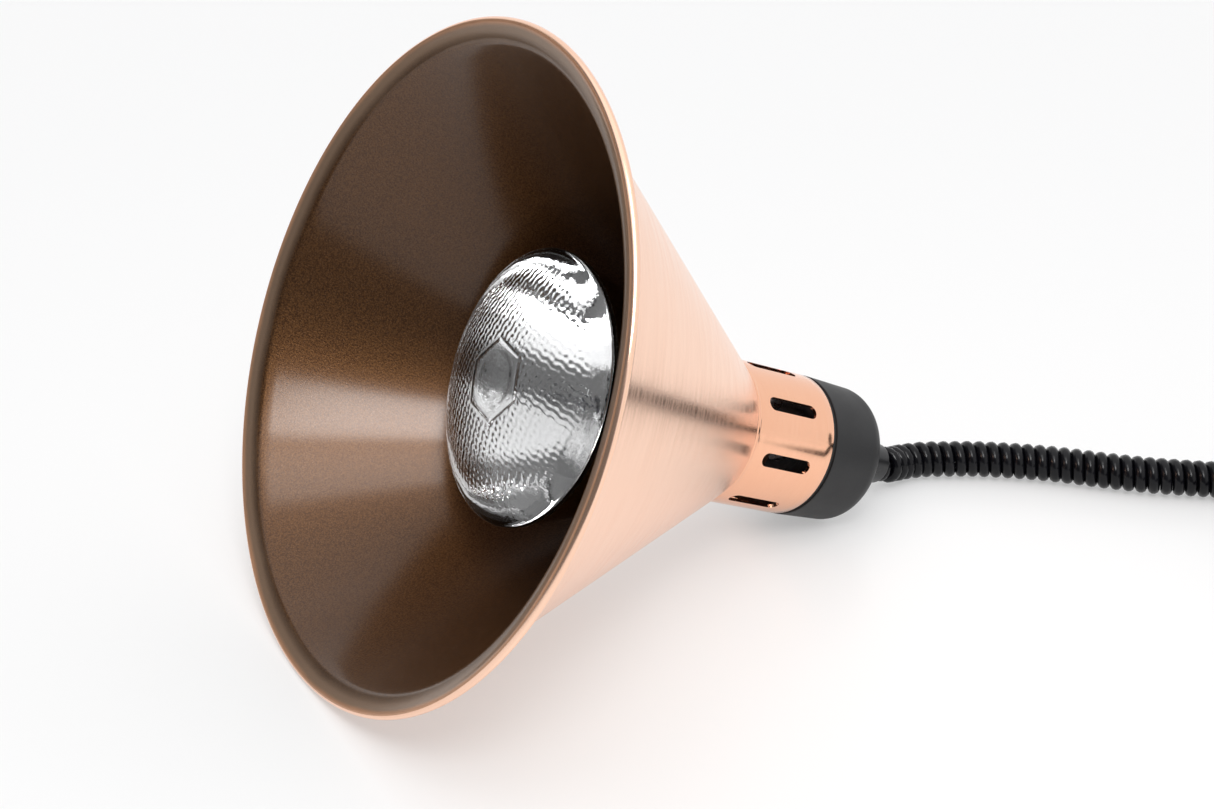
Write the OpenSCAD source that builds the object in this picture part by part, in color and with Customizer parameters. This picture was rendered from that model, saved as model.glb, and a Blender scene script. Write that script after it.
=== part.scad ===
// Hanging heat lamp warmer, lying on its side: shade, bulb, lampholder, curly cord and ceiling canopy.
// The lamp is drawn about its own axis: local z runs from the mouth to the cap, local -x points up when it lies.

/* [Shade] */
// Outer radius of the rim
rim_r = 145; // [140:1:150]
// Radius of the rolled edge of the rim
bead_r = 2; // [1.5:0.25:2.5]
// Radius of the cone where the lip starts
cone_r = 135.8; // [134:0.2:137]
// Distance of the lip's crease behind the mouth
cone_z = 3.9; // [3.5:0.1:4.5]
// Thickness of the sheet
sheet_t = 1.5; // [1.2:0.1:1.8]

/* [Neck] */
// Radius of the neck tube
neck_r = 34; // [33:0.5:35]
// Where the shade ends and the neck tube starts
seam_z = 163; // [162:0.5:164]
// Where the neck tube ends
neck_z = 213; // [212:0.5:214]
// Number of vent slots
slot_count = 8; // [6:2:8]
// Length of a vent slot
slot_len = 29.5; // [26:0.5:30]
// Width of a vent slot
slot_w = 6.7; // [5:0.1:8]
// Middle of the vent slots
slot_z = 187; // [186:0.5:188]

/* [Cap] */
// Radius of the cap at its back corner
cap_back_r = 33; // [32:0.5:33.5]
// Back face of the cap
cap_end = 251; // [249:1:253]
// Radius of the rounded back corner
cap_corner_r = 10; // [8:1:12]
// Wall of the cap
cap_t = 2; // [1.5:0.25:2.5]

/* [Cord grip] */
// Radius of the grip at the cap
grip_base_r = 14.5; // [13:0.5:15]
// Radius of the grip at its tip
grip_tip_r = 10; // [9.5:0.5:10.5]
// Tip of the grip
grip_end = 277; // [275:1:279]

/* [Bulb] */
// Radius of the bulb's face
bulb_r = 61; // [59:1:61]
// Foremost point of the lens
lens_z = 41.5; // [40:0.5:43]
// Length of the bulb over everything
bulb_len = 136; // [134:1:136]
// How far the lens bulges forward
lens_sag = 17.5; // [15:0.5:18]

/* [Cord] */
// Outer diameter of the curly cord
curl_d = 18.6; // [17:0.2:19]
// Diameter of the flex that the curly cord is wound from
flex_d = 6; // [5.5:0.1:6.2]

/* [Canopy] */
// Radius of the ceiling canopy's rim
canopy_r = 50; // [48:1:52]
// Depth of the ceiling canopy
canopy_h = 36; // [34:1:38]
// Distance between the two ceiling bolts
canopy_bolts = 60; // [50:1:64]

/* [Hidden] */
$fn = 96;

// Small clearances and overlaps
fit = 0.05;         // radial clearance of threads and press fits
run = 0.08;         // radial clearance of the bulb's screw in its shell
cut = 1;            // how far a cutting shape runs past a face

// How the lamp lies: its rim and the rounded corner of its cap touch the floor
bead_c = [rim_r - bead_r, bead_r];
corner_c = [cap_back_r - cap_corner_r, cap_end - cap_corner_r];
lie_dist = norm(corner_c - bead_c);
tilt = atan2(bead_c.x - corner_c.x, corner_c.y - bead_c.y) - asin((cap_corner_r - bead_r) / lie_dist);
mouth_h = bead_r + bead_c.x * cos(tilt) + bead_c.y * sin(tilt);
low_x = bead_c.y * cos(tilt) - bead_c.x * sin(tilt) - bead_r;
high_x = grip_tip_r * sin(tilt) + grip_end * cos(tilt);
mouth_x = -(low_x + high_x) / 2;

// Shade and neck
seam_r = neck_r + 1.4;                                  // the neck's foot flares out to meet the cone
cone_slope = (cone_r - seam_r) / (seam_z - cone_z);
cone_a = atan(cone_slope);
sheet_r = sheet_t / cos(cone_a);                        // the sheet measured along the radius
spigot_r = neck_r - 2;
spigot_z = 150;
ear_z = 207;                                            // front of the neck's two tapped ears
ear_at = 27.5;

// Yoke, cap and grip
yoke_r = neck_r - 0.8;
yoke_t = 1.2;
yoke_top = neck_z + yoke_t;
ring_t = 0.9;
cap_z = yoke_top + ring_t;
nipple_r = 6;
nipple_bore = 4.2;
nipple_front = 205;
nipple_back = cap_end + 5;
nut_h = 4.5;
nut_r = 9.2;
seal_t = 0.6;

// Bulb
face_z = lens_z + lens_sag;                             // the widest circle of the lens
bulb_end = lens_z + bulb_len;
button_h = 2;
shell_r = 13.2;                                         // 27 mm screw base
shell_back = bulb_end - 6.5;
shell_front = shell_back - 20;
ferrule_r = 17;
ferrule_z = shell_front - 8;
lens_t = 4;
lens_sphere = (pow(bulb_r, 2) + pow(lens_sag, 2)) / (2 * lens_sag);
bowl_t = 3;

// Lampholder
holder_r = 22;
holder_front = shell_front - 4;
holder_floor = bulb_end + 3;
holder_back = holder_floor + 6;
holder_wall = 0.6;                                      // sheet of the screw shell
pillar_at = 17;
pillar_r = 3.2;
terminal_at = 9.5;
terminal_size = [7, 8, 7];

// Cord, on the floor: the curly stretch's centre line in millimetres
floor_z = curl_d / 2 + 0.2;
tip = [mouth_x + grip_end * cos(tilt), 0, mouth_h - grip_end * sin(tilt)];
curly_route = [
    tip, tip + 5 * [cos(tilt), 0, -sin(tilt)], [165, 1.5, 11.3], [174, 2.5, 9.8], [185, -0.5, floor_z],
    [197, -7, floor_z], [208, -13.5, floor_z], [219, -21.5, floor_z], [229, -29.5, floor_z],
    [238, -37.5, floor_z], [247, -46.5, floor_z], [255, -55, floor_z], [264, -64, floor_z],
    [273, -72.5, floor_z], [284, -81.5, floor_z], [296, -91, floor_z], [309, -101.5, floor_z],
    [324, -113.5, floor_z], [339, -125.5, floor_z], [355, -138, floor_z]
];
coil_at = [313, -190];
coil_out = 67;                                          // the outer turn's centre line
coil_step = 20;                                         // a turn lies this far inside the one before
tie_a = 55;
tie_w = 14;
tie_t = 1.2;

// Canopy, lying on its tapered side, with its cord grip towards the coil
canopy_taper = 8;
canopy_side = 30;
canopy_t = 1.6;
canopy_tilt = atan(canopy_taper / canopy_side);
canopy_corner = canopy_h - canopy_side;
canopy_grip_r = 9;
canopy_grip_end = canopy_h + 18;
canopy_grip_h = (canopy_r - canopy_grip_end * tan(canopy_tilt)) * cos(canopy_tilt);
canopy_tip = [435, -202];
bar_z = 1;
bar_t = 2;
tab_h = 11;
screw_z = 7.5;
cup_inner = canopy_r - canopy_t - screw_z * tan(canopy_tilt);
block = [30, 15, 13];
block_at = [0, 0, bar_z + bar_t];
tail_route = [
    [336, -149, floor_z], [344, -153, 11.5], [352, -157.5, 16], [360, -162.5, 20.5], [368, -168, 22.8],
    [376, -174, 23.6], [384, -180, 24], [392, -186, 25], [400, -191.5, 26.2], [408, -196.3, 27.7],
    [417, -199.9, 29.7], concat(canopy_tip, canopy_grip_h) - 5 * [cos(canopy_tilt), 0, sin(canopy_tilt)],
    concat(canopy_tip, canopy_grip_h)
];

// ---------------------------------------------------------------- shapes

// Points of an arc about [cx, cy]
function arc(cx, cy, r, a0, a1, n) = [for (i = [0:n]) let (a = a0 + (a1 - a0) * i / n) [cx + r * cos(a), cy + r * sin(a)]];

// Sweep of a round section along a route: a ring of points about every route point
function unit(v) = v / norm(v);
function along(p, i) = unit(p[min(i + 1, len(p) - 1)] - p[max(i - 1, 0)]);
function ring(c, t, r, n, up) = [
    for (k = [0:n - 1])
        let (a = 360 * (k + 0.5) / n, s = unit(cross(t, up)), u = cross(s, t))
            c + r * cos(a) * s + r * sin(a) * u
];

// up is any direction that the route never points along
module sweep(path, r, n, up = [0, 0, 1]) {
    last = len(path) - 1;
    points = [for (i = [0:last]) each ring(path[i], along(path, i), r, n, up)];
    skin = [
        for (i = [0:last - 1], k = [0:n - 1])
            [i * n + k, i * n + (k + 1) % n, (i + 1) * n + (k + 1) % n, (i + 1) * n + k]
    ];
    ends = [[for (k = [n - 1:-1:0]) k], [for (k = [0:n - 1]) last * n + k]];
    polyhedron(points = points, faces = concat(skin, ends), convexity = 4);
}

// The lamp as it lies, and the canopy as it lies
module lying() {
    translate([mouth_x, 0, mouth_h]) rotate([0, 90 + tilt, 0]) children();
}

module canopy_lying() {
    reach = canopy_grip_end * cos(canopy_tilt);
    translate([canopy_tip.x + reach, canopy_tip.y, canopy_r * cos(canopy_tilt)])
        rotate([0, 0, 180]) rotate([0, 90 + canopy_tilt, 0]) children();
}

module at_z(z) {
    translate([0, 0, z]) children();
}

// Tube between two heights
module tube(r_out, r_in, z0, z1) {
    at_z(z0) difference() {
        cylinder(r = r_out, h = z1 - z0);
        at_z(-cut) cylinder(r = r_in, h = z1 - z0 + 2 * cut);
    }
}

// Six-sided nut with a round hole
module nut(r, bore, z0, h) {
    at_z(z0) difference() {
        cylinder(r = r, h = h, $fn = 6);
        at_z(-cut) cylinder(r = bore, h = h + 2 * cut);
    }
}

// Pan-head screw pointing to -z, with its head on z = 0
module screw(r, length, head_r, head_h) {
    difference() {
        union() {
            at_z(-length) cylinder(r = r, h = length);
            cylinder(r = head_r, h = head_h);
        }
        translate([-head_r - cut, -0.4, head_h * 0.6]) cube([2 * head_r + 2 * cut, 0.8, head_h]);
    }
}

// ---------------------------------------------------------------- shade, neck and cap

module shade() {
    behind = cone_z + 2.6;
    outside = [[cone_r + 2.2, cone_z + 1], [cone_r + 0.6, cone_z + 1.6], [cone_r - cone_slope * 2.6, behind]];
    throat = [[seam_r, seam_z], [seam_r - sheet_r, seam_z]];
    inside = [[cone_r - sheet_r + 0.9, cone_z - 0.6], [cone_r + 1.8, cone_z - 1.3]];
    profile = concat(arc(bead_c.x, bead_c.y, bead_r, -115, 105, 14), outside, throat, inside);
    color("peru") rotate_extrude() polygon(profile);
}

module shade_ring() {
    color("silver") difference() {
        at_z(152) cylinder(r = 37.6, h = 4);
        at_z(152 - cut) cylinder(r = spigot_r + fit, h = 4 + 2 * cut);
    }
}

module vent_slots() {
    half = (slot_len - slot_w) / 2;
    for (i = [0:slot_count - 1]) {
        rotate([0, 0, 360 / slot_count * i]) for (s = [-1, 1]) {
            translate([spigot_r - 4, 0, slot_z + s * half]) rotate([0, 90, 0]) cylinder(r = slot_w / 2, h = 8);
        }
        rotate([0, 0, 360 / slot_count * i]) translate([spigot_r - 4, -slot_w / 2, slot_z - half])
            cube([8, slot_w, 2 * half]);
    }
}

module neck_tube() {
    inner = neck_r - sheet_t;
    profile = concat(
        [[spigot_r - sheet_t, spigot_z], [spigot_r, spigot_z], [spigot_r, seam_z], [seam_r, seam_z]],
        arc(neck_r + 3, seam_z + 3.6, 3, 240, 180, 5),
        [[neck_r, neck_z], [inner, neck_z], [inner, seam_z + 3], [spigot_r - sheet_t, seam_z + 1.5]]
    );
    color("peru") difference() {
        union() {
            difference() {
                rotate_extrude() polygon(profile);
                vent_slots();
            }
            for (s = [-1, 1]) {
                intersection() {
                    translate([-5, s * 28.5 - 5, ear_z]) cube([10, 10, neck_z - ear_z]);
                    at_z(ear_z) cylinder(r = inner + 0.5, h = neck_z - ear_z);
                }
            }
        }
        for (s = [-1, 1]) {
            translate([0, s * ear_at, ear_z - cut]) cylinder(r = 1.6, h = 10);
        }
    }
}

module yoke() {
    color("gainsboro") difference() {
        at_z(neck_z) cylinder(r = yoke_r, h = yoke_t);
        at_z(neck_z - cut) cylinder(r = nipple_r + fit, h = yoke_t + 2 * cut);
        for (s = [-1, 1]) {
            translate([0, s * ear_at, neck_z - cut]) cylinder(r = 1.6, h = yoke_t + 2 * cut);
            translate([s * pillar_at, 0, neck_z - cut]) cylinder(r = 1.6, h = yoke_t + 2 * cut);
        }
        rotate([0, 0, 45]) translate([20, 0, neck_z - cut]) cylinder(r = 1.6, h = yoke_t + 2 * cut);
    }
}

module neck_screws() {
    color("silver") for (s = [-1, 1]) {
        translate([0, s * ear_at, yoke_top]) screw(1.6, 6.5, 2.8, 1.8);
    }
}

module cap_ring() {
    color("black") tube(yoke_r, yoke_r - 2.2, yoke_top, cap_z);
}

// Outer or inner outline of the cap, drawn in by a wall
function cap_outline(wall, corner) = concat(
    [[0, cap_z + (wall > 0 ? -cut : 0)], [neck_r - wall, cap_z + (wall > 0 ? -cut : 0)]],
    arc(cap_back_r - wall - corner, cap_end - wall - corner, corner, 0, 90, 12),
    [[0, cap_end - wall]]
);

module cap() {
    color("#3c3c3e") difference() {
        rotate_extrude() polygon(cap_outline(0, cap_corner_r));
        rotate_extrude() polygon(cap_outline(cap_t, cap_corner_r - cap_t));
        at_z(cap_end - cap_t - cut) cylinder(r = nipple_r + fit, h = cap_t + 2 * cut);
    }
}

// ---------------------------------------------------------------- cord grip and nipple

module grip_seal() {
    color("#222222") tube(grip_base_r - 1.5, nipple_r + fit, cap_end, cap_end + seal_t);
}

module grip_body() {
    base = cap_end + seal_t;
    waist_r = grip_tip_r + 0.6;
    flare = grip_base_r - waist_r;
    profile = concat(
        [[nipple_r + fit, base], [grip_base_r, base], [grip_base_r, base + 1]],
        arc(waist_r + flare, base + 1 + flare * 1.6, flare, 250, 180, 5),
        arc(grip_tip_r - 1, grip_end - 1, 1, 0, 90, 4),
        [[flex_d / 2 + fit, grip_end], [flex_d / 2 + fit, nipple_back + 0.2], [nipple_r + fit, nipple_back + 0.2]]
    );
    color("#1c1c1e") rotate_extrude() polygon(profile);
}

module grip_nut() {
    color("silver") nut(nut_r, nipple_r + fit, cap_end - cap_t - nut_h, nut_h);
}

module nipple() {
    color("silver") tube(nipple_r, nipple_bore, nipple_front, nipple_back);
}

module nipple_nuts() {
    color("silver") {
        nut(nut_r, nipple_r + fit, neck_z - nut_h, nut_h);
        nut(nut_r, nipple_r + fit, yoke_top, nut_h);
    }
}

// ---------------------------------------------------------------- lampholder

module holder_body() {
    color("#4a342a") difference() {
        union() {
            at_z(holder_front) cylinder(r = holder_r, h = holder_back - holder_front);
            at_z(holder_front - 2) cylinder(r1 = holder_r - 2, r2 = holder_r, h = 2);
        }
        at_z(holder_front - 2 - cut) cylinder(r = ferrule_r + 1, h = 2 + cut + 2);
        at_z(holder_front) cylinder(r = shell_r + run + holder_wall + fit, h = holder_floor - holder_front);
        for (s = [-1, 1]) {
            translate([s * pillar_at, 0, holder_back - 4]) cylinder(r = 1.6 + fit, h = 4 + cut);
        }
        at_z(holder_floor - cut) cylinder(r = 1.5 + fit, h = 10);
    }
}

module holder_shell() {
    color("goldenrod") tube(shell_r + run + holder_wall, shell_r + run, shell_front + 0.5, shell_back + 2);
}

module holder_contact() {
    color("goldenrod") {
        translate([-3.5, -5, bulb_end + 0.3]) cube([7, 10, 0.8]);
        at_z(bulb_end + 1) cylinder(r = 1.5, h = holder_back - bulb_end - 1);
    }
}

module holder_pillars() {
    color("silver") for (s = [-1, 1]) {
        translate([s * pillar_at, 0, 0]) difference() {
            union() {
                at_z(holder_back - 4) cylinder(r = 1.6, h = 5);
                at_z(holder_back) cylinder(r = pillar_r, h = neck_z - holder_back);
            }
            at_z(neck_z - 7) cylinder(r = 1.6 + fit, h = 7 + cut);
        }
    }
}

module pillar_screws() {
    color("silver") for (s = [-1, 1]) {
        translate([s * pillar_at, 0, yoke_top]) screw(1.55, 6.5, 2.8, 1.8);
    }
}

// Two brass clamps on the lampholder's back, each with a tapped hole and a wire hole
module terminals() {
    size = terminal_size;
    color("goldenrod") for (s = [-1, 1]) {
        translate([0, s * terminal_at, holder_back]) difference() {
            translate([-size.x / 2, -size.y / 2, 0]) cube(size);
            at_z(size.z / 2) cylinder(r = 1.4, h = size.z);
            translate([0, 0, size.z / 2]) rotate([0, 90, 0]) cylinder(r = 1.3, h = size.x);
        }
    }
}

module terminal_screws() {
    color("silver") for (s = [-1, 1]) {
        translate([0, s * terminal_at, holder_back + terminal_size.z]) screw(1.35, 1.9, 2.4, 1.4);
    }
}

module earth_tag() {
    color("goldenrod") rotate([0, 0, 45]) difference() {
        union() {
            translate([20, 0, neck_z - 0.8]) cylinder(r = 3.4, h = 0.8);
            translate([13, -1.6, neck_z - 0.8]) cube([7, 3.2, 0.8]);
        }
        translate([20, 0, neck_z - cut - 0.8]) cylinder(r = 1.6, h = 3);
    }
}

module earth_screw() {
    color("silver") rotate([0, 0, 45]) translate([20, 0, yoke_top]) screw(1.55, 5, 2.8, 1.8);
}

// ---------------------------------------------------------------- inner wires

wire_r = 1.1;
wire_from = nipple_front - 1;

module inner_wire(paint, up, path) {
    color(paint) sweep(path, wire_r, 8, up);
}

module wire_live() {
    inner_wire("sienna", [0, 1, 0], [
        [1.4, 0.8, nipple_front + 20], [1.4, 0.8, nipple_front + 1], [2.4, 1.6, wire_from - 3],
        [5, 4, wire_from - 6], [7, 6.5, wire_from - 9], [8, 8.5, 193], [7.2, 9.5, 189.8], [3.6, 9.5, 189.5]
    ]);
}

module wire_neutral() {
    inner_wire("steelblue", [0, 1, 0], [
        [1.4, -1.4, nipple_front + 20], [1.4, -1.4, nipple_front + 1], [2.4, -2, wire_from - 3],
        [5, -4, wire_from - 6], [7, -6.5, wire_from - 9], [8, -8.5, 193], [7.2, -9.5, 189.8], [3.6, -9.5, 189.5]
    ]);
}

module wire_earth() {
    inner_wire("olivedrab", [1, 0, 0], [
        [-1.6, 0, nipple_front + 20], [-1.6, 0, nipple_front + 1], [-3, 1.5, wire_from - 2],
        [-4, 5, wire_from - 4], [-2, 10, wire_from - 3], [3, 13.5, wire_from - 1],
        [7.5, 12.5, wire_from + 3], [9, 10.8, wire_from + 6.3]
    ]);
}

// ---------------------------------------------------------------- bulb

// Outline of the reflector bowl: a parabola from the face to the ferrule, drawn in by a wall
function bowl(wall, n) = [
    for (i = [0:n])
        let (s = i / n, z = face_z + 2 + (ferrule_z - face_z - 2) * (1 - pow(1 - s, 2)))
            [ferrule_r - 1.5 + (bulb_r - ferrule_r + 1.5) * (1 - s) - wall, z]
];

module bulb_lens() {
    outer = asin(bulb_r / lens_sphere);
    inner_r = lens_sphere - lens_t;
    inner = asin((bulb_r - 4) / inner_r);
    centre = lens_z + lens_sphere;
    back = centre - inner_r * cos(inner);
    color("#d8d8d8") rotate_extrude() polygon(concat(
        arc(0, centre, lens_sphere, -90, -90 + outer, 12),
        [[bulb_r, face_z + 2], [bulb_r - 4, face_z + 2], [bulb_r - 4, max(back, face_z)]],
        arc(0, centre, inner_r, -90 + inner, -90, 12)
    ));
}

module bulb_reflector() {
    n = 14;
    outer = bowl(0, n);
    inner = bowl(bowl_t, n);
    color("#b8bcc2") rotate_extrude() polygon(concat(outer, [for (i = [n:-1:0]) inner[i]]));
}

module bulb_stem() {
    color("white") {
        at_z(ferrule_z - 38) cylinder(r = 3, h = 38 - 0.1);
        at_z(ferrule_z - 4) cylinder(r = ferrule_r - bowl_t - 1.7, h = 4 - 0.1);
    }
}

// Two support rods that carry a coiled filament
module bulb_filament() {
    top = ferrule_z - 46;
    color("silver") {
        for (s = [-1, 1]) {
            translate([0, s * 5, top]) cylinder(r = 0.5, h = 42);
        }
        translate([0, -5.5, top - 1.2]) rotate([-90, 0, 0]) cylinder(r = 1.2, h = 11);
    }
}

module bulb_ferrule() {
    color("silver") rotate_extrude() polygon([
        [shell_r - 0.6, shell_front], [shell_r, shell_front], [ferrule_r - 1.5, ferrule_z],
        [ferrule_r - 2.5, ferrule_z], [shell_r - 0.6, shell_front - 1]
    ]);
}

module bulb_shell() {
    color("silver") tube(shell_r, shell_r - 0.6, shell_front, shell_back);
}

module bulb_insulator() {
    color("#202428") at_z(shell_back) cylinder(r1 = shell_r - 0.7, r2 = 5.4, h = bulb_end - button_h - shell_back);
}

module bulb_button() {
    color("silver") at_z(bulb_end - button_h) cylinder(r1 = 4.8, r2 = 3.6, h = button_h);
}

// ---------------------------------------------------------------- cord

module cord_inlet() {
    color("#141416") at_z(nipple_front + 21) cylinder(r = flex_d / 2, h = grip_end - nipple_front - 21);
}

module cord_curly() {
    color("#141416") sweep(curly_route, curl_d / 2, 12);
}

// Outer shape of the coil: two turns lie side by side
module cord_coil() {
    inner = coil_out - coil_step - curl_d / 2;
    outer = coil_out + curl_d / 2;
    bend = curl_d / 2 - 0.3;
    color("#141416") translate([coil_at.x, coil_at.y, 0]) rotate_extrude() polygon(concat(
        arc(outer - bend, floor_z, bend, -90, 90, 12),
        arc(inner + bend, floor_z, bend, 90, 270, 12)
    ));
}

module cord_tie() {
    mid = coil_out - coil_step / 2;
    wide = coil_step + curl_d - 1.2;
    high = curl_d - 2.4;
    color("#2a2a2c") translate([coil_at.x, coil_at.y, 0]) rotate([0, 0, tie_a])
        translate([mid, tie_w / 2, floor_z]) rotate([90, 0, 0]) difference() {
            tie_section(wide + 2 * tie_t, high + 2 * tie_t);
            at_z(-cut) scale([1, 1, 1.2]) tie_section(wide, high);
        }
}

// A flat loop: two half rounds and what lies between them
module tie_section(wide, high) {
    half = (wide - high) / 2;
    for (s = [-1, 1]) {
        translate([s * half, 0, 0]) cylinder(r = high / 2, h = tie_w);
    }
    translate([-half, -high / 2, 0]) cube([2 * half, high, tie_w]);
}

module cord_tail() {
    color("#141416") sweep(tail_route, flex_d / 2, 8);
}

// ---------------------------------------------------------------- ceiling canopy

function canopy_outline(wall) = let (bend = canopy_corner - wall / 2) concat(
    [[0, wall > 0 ? -cut : 0], [canopy_r - wall + (wall > 0 ? cut * tan(canopy_tilt) : 0), wall > 0 ? -cut : 0]],
    arc(canopy_r - canopy_taper - wall - bend, canopy_h - wall - bend, bend, 0, 90, 8),
    [[0, canopy_h - wall]]
);

module canopy_cup() {
    color("#202022") difference() {
        rotate_extrude() polygon(canopy_outline(0));
        rotate_extrude() polygon(canopy_outline(canopy_t));
        at_z(canopy_h - canopy_t - cut) cylinder(r = nipple_r + fit, h = canopy_t + 2 * cut);
        translate([0, -canopy_r - cut, screw_z]) rotate([-90, 0, 0]) cylinder(r = 2.1, h = 2 * canopy_r + 2 * cut);
    }
}

// Cross bar with two ceiling bolt holes, and a tab at each end for the cup's side screws
module canopy_bar() {
    half_w = 9;
    cup_r = canopy_r - canopy_t - (bar_z + tab_h) * tan(canopy_tilt);
    reach = sqrt(pow(cup_r, 2) - pow(half_w, 2)) - 0.3;
    color("gainsboro") difference() {
        union() {
            translate([-half_w, -reach, bar_z]) cube([2 * half_w, 2 * reach, bar_t]);
            for (s = [-1, 1]) {
                translate([-half_w, s * reach - (s > 0 ? bar_t : 0), bar_z]) cube([2 * half_w, bar_t, tab_h]);
            }
        }
        for (s = [-1, 1]) {
            translate([0, s * canopy_bolts / 2, bar_z - cut]) cylinder(r = 2.6, h = bar_t + 2 * cut);
        }
        translate([0, -canopy_r, screw_z]) rotate([-90, 0, 0]) cylinder(r = 1.85, h = 2 * canopy_r);
    }
}

module canopy_screws() {
    head_r = 3.6;
    head = canopy_r - (screw_z - head_r) * tan(canopy_tilt) + fit;
    color("silver") for (s = [-1, 1]) {
        translate([0, s * head, screw_z]) rotate([-s * 90, 0, 0]) screw(1.8, head - cup_inner + 6, head_r, 1.6);
    }
}

module canopy_grip() {
    color("#1c1c1e") rotate_extrude() polygon([
        [flex_d / 2 + fit, canopy_h - 8], [nipple_r, canopy_h - 8], [nipple_r, canopy_h],
        [canopy_grip_r, canopy_h], [canopy_grip_r, canopy_h + 4], [canopy_grip_r - 3.4, canopy_grip_end],
        [flex_d / 2 + fit, canopy_grip_end]
    ]);
}

module canopy_grip_nut() {
    color("silver") nut(nut_r, nipple_r + fit, canopy_h - canopy_t - 4, 4);
}

module canopy_block() {
    color("ivory") translate([block_at.x - block.x / 2, block_at.y - block.y / 2, block_at.z]) difference() {
        cube(block);
        for (i = [0:2]) {
            translate([5 + 10 * i, block.y / 2 + 4, block.z - 4]) cylinder(r = 1.9, h = 5);
            translate([5 + 10 * i, block.y / 2 - 4, block.z - 4]) cylinder(r = 1.9, h = 5);
        }
    }
}

module canopy_block_screws() {
    color("goldenrod") for (i = [0:2], s = [-1, 1]) {
        translate([block_at.x - block.x / 2 + 5 + 10 * i, block_at.y + s * 4, block_at.z + block.z - 4])
            cylinder(r = 1.8, h = 2.5);
    }
}

// The flex's end inside the canopy, from the grip to the block
module canopy_lead() {
    color("#141416") sweep([
        [0, 0, canopy_grip_end], [0, 0, canopy_h], [0, 0, canopy_h - 10], [1, 3, canopy_h - 13],
        [2, 8, canopy_h - 15.5], [2, 13.5, canopy_h - 19.5], [2, 16, canopy_h - 24.5], [2, 16, canopy_h - 28]
    ], flex_d / 2, 8, [1, 0, 0]);
}

lying() shade();
lying() shade_ring();
lying() neck_tube();
lying() yoke();
lying() neck_screws();
lying() cap_ring();
lying() cap();
lying() grip_seal();
lying() grip_body();
lying() grip_nut();
lying() nipple();
lying() nipple_nuts();
lying() holder_body();
lying() holder_shell();
lying() holder_contact();
lying() holder_pillars();
lying() pillar_screws();
lying() terminals();
lying() terminal_screws();
lying() earth_tag();
lying() earth_screw();
lying() wire_live();
lying() wire_neutral();
lying() wire_earth();
lying() bulb_lens();
lying() bulb_reflector();
lying() bulb_stem();
lying() bulb_filament();
lying() bulb_ferrule();
lying() bulb_shell();
lying() bulb_insulator();
lying() bulb_button();
lying() cord_inlet();
cord_curly();
cord_coil();
cord_tie();
cord_tail();
canopy_lying() canopy_cup();
canopy_lying() canopy_bar();
canopy_lying() canopy_screws();
canopy_lying() canopy_grip();
canopy_lying() canopy_grip_nut();
canopy_lying() canopy_block();
canopy_lying() canopy_block_screws();
canopy_lying() canopy_lead();
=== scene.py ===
"""Hanging heat lamp warmer on its side: shade, reflector bulb, vented neck, cap, curly cord and canopy."""

import logging
import math
from dataclasses import dataclass, field
from enum import Enum
from typing import Callable, ClassVar, Iterable, Sequence

import bmesh
import bpy
from mathutils import Matrix, Vector


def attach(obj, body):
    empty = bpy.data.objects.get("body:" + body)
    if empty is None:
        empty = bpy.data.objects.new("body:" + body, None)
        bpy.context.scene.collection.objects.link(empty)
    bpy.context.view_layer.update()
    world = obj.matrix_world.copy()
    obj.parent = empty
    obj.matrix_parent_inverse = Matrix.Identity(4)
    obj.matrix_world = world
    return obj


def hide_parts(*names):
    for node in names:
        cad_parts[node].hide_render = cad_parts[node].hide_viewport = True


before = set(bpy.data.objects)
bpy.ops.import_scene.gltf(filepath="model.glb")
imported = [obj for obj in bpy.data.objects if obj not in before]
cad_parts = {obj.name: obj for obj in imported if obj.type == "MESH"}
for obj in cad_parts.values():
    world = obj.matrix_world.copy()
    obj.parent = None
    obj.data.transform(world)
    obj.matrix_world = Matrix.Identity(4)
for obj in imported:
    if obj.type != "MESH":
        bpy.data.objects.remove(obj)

LOG = logging.getLogger("heat_lamp")
MM = 0.001
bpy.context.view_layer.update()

Point = tuple[float, float]
Colour = tuple[float, float, float]
Values = dict[str | int, object]
Sockets = dict[str, tuple[str, object]]


# ---------------------------------------------------------------- how the lamp lies


@dataclass(frozen=True)
class Lamp:
    """Sizes of the lamp about its own axis, in millimetres; z runs from the mouth to the cap."""

    rim_r: float = 145.0
    bead_r: float = 2.0
    cone_r: float = 135.8
    cone_z: float = 3.9
    sheet_t: float = 1.5
    neck_r: float = 34.0
    seam_z: float = 163.0
    neck_z: float = 213.0
    cap_z: float = 215.1
    cap_back_r: float = 33.0
    cap_end: float = 251.0
    cap_corner_r: float = 10.0
    grip_tip_r: float = 10.0
    grip_end: float = 277.0

    @property
    def tilt(self) -> float:
        """Angle by which the axis leans when the rim and the cap's corner touch the floor, in radians."""
        across = self.rim_r - self.bead_r - self.cap_back_r + self.cap_corner_r
        back = self.cap_end - self.cap_corner_r - self.bead_r
        lift = math.asin((self.cap_corner_r - self.bead_r) / math.hypot(across, back))
        return math.atan2(across, back) - lift

    @property
    def mouth(self) -> Vector:
        """Middle of the mouth, in metres, with the lamp's box centred over the origin."""
        sin, cos = math.sin(self.tilt), math.cos(self.tilt)
        bead = self.rim_r - self.bead_r
        low = self.bead_r * cos - bead * sin - self.bead_r
        high = self.grip_tip_r * sin + self.grip_end * cos
        return Vector((-(low + high) / 2, 0.0, self.bead_r + bead * cos + self.bead_r * sin)) * MM

    @property
    def turn(self) -> tuple[float, float, float]:
        """Euler angles that lay the lamp's own axes down."""
        return (0.0, math.pi / 2 + self.tilt, 0.0)

    @property
    def place(self) -> Matrix:
        """Matrix from the lamp's own axes, in millimetres, to the frame."""
        turn = Matrix.Rotation(self.turn[1], 4, "Y")
        return Matrix.Translation(self.mouth) @ turn @ Matrix.Scale(MM, 4)


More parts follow.
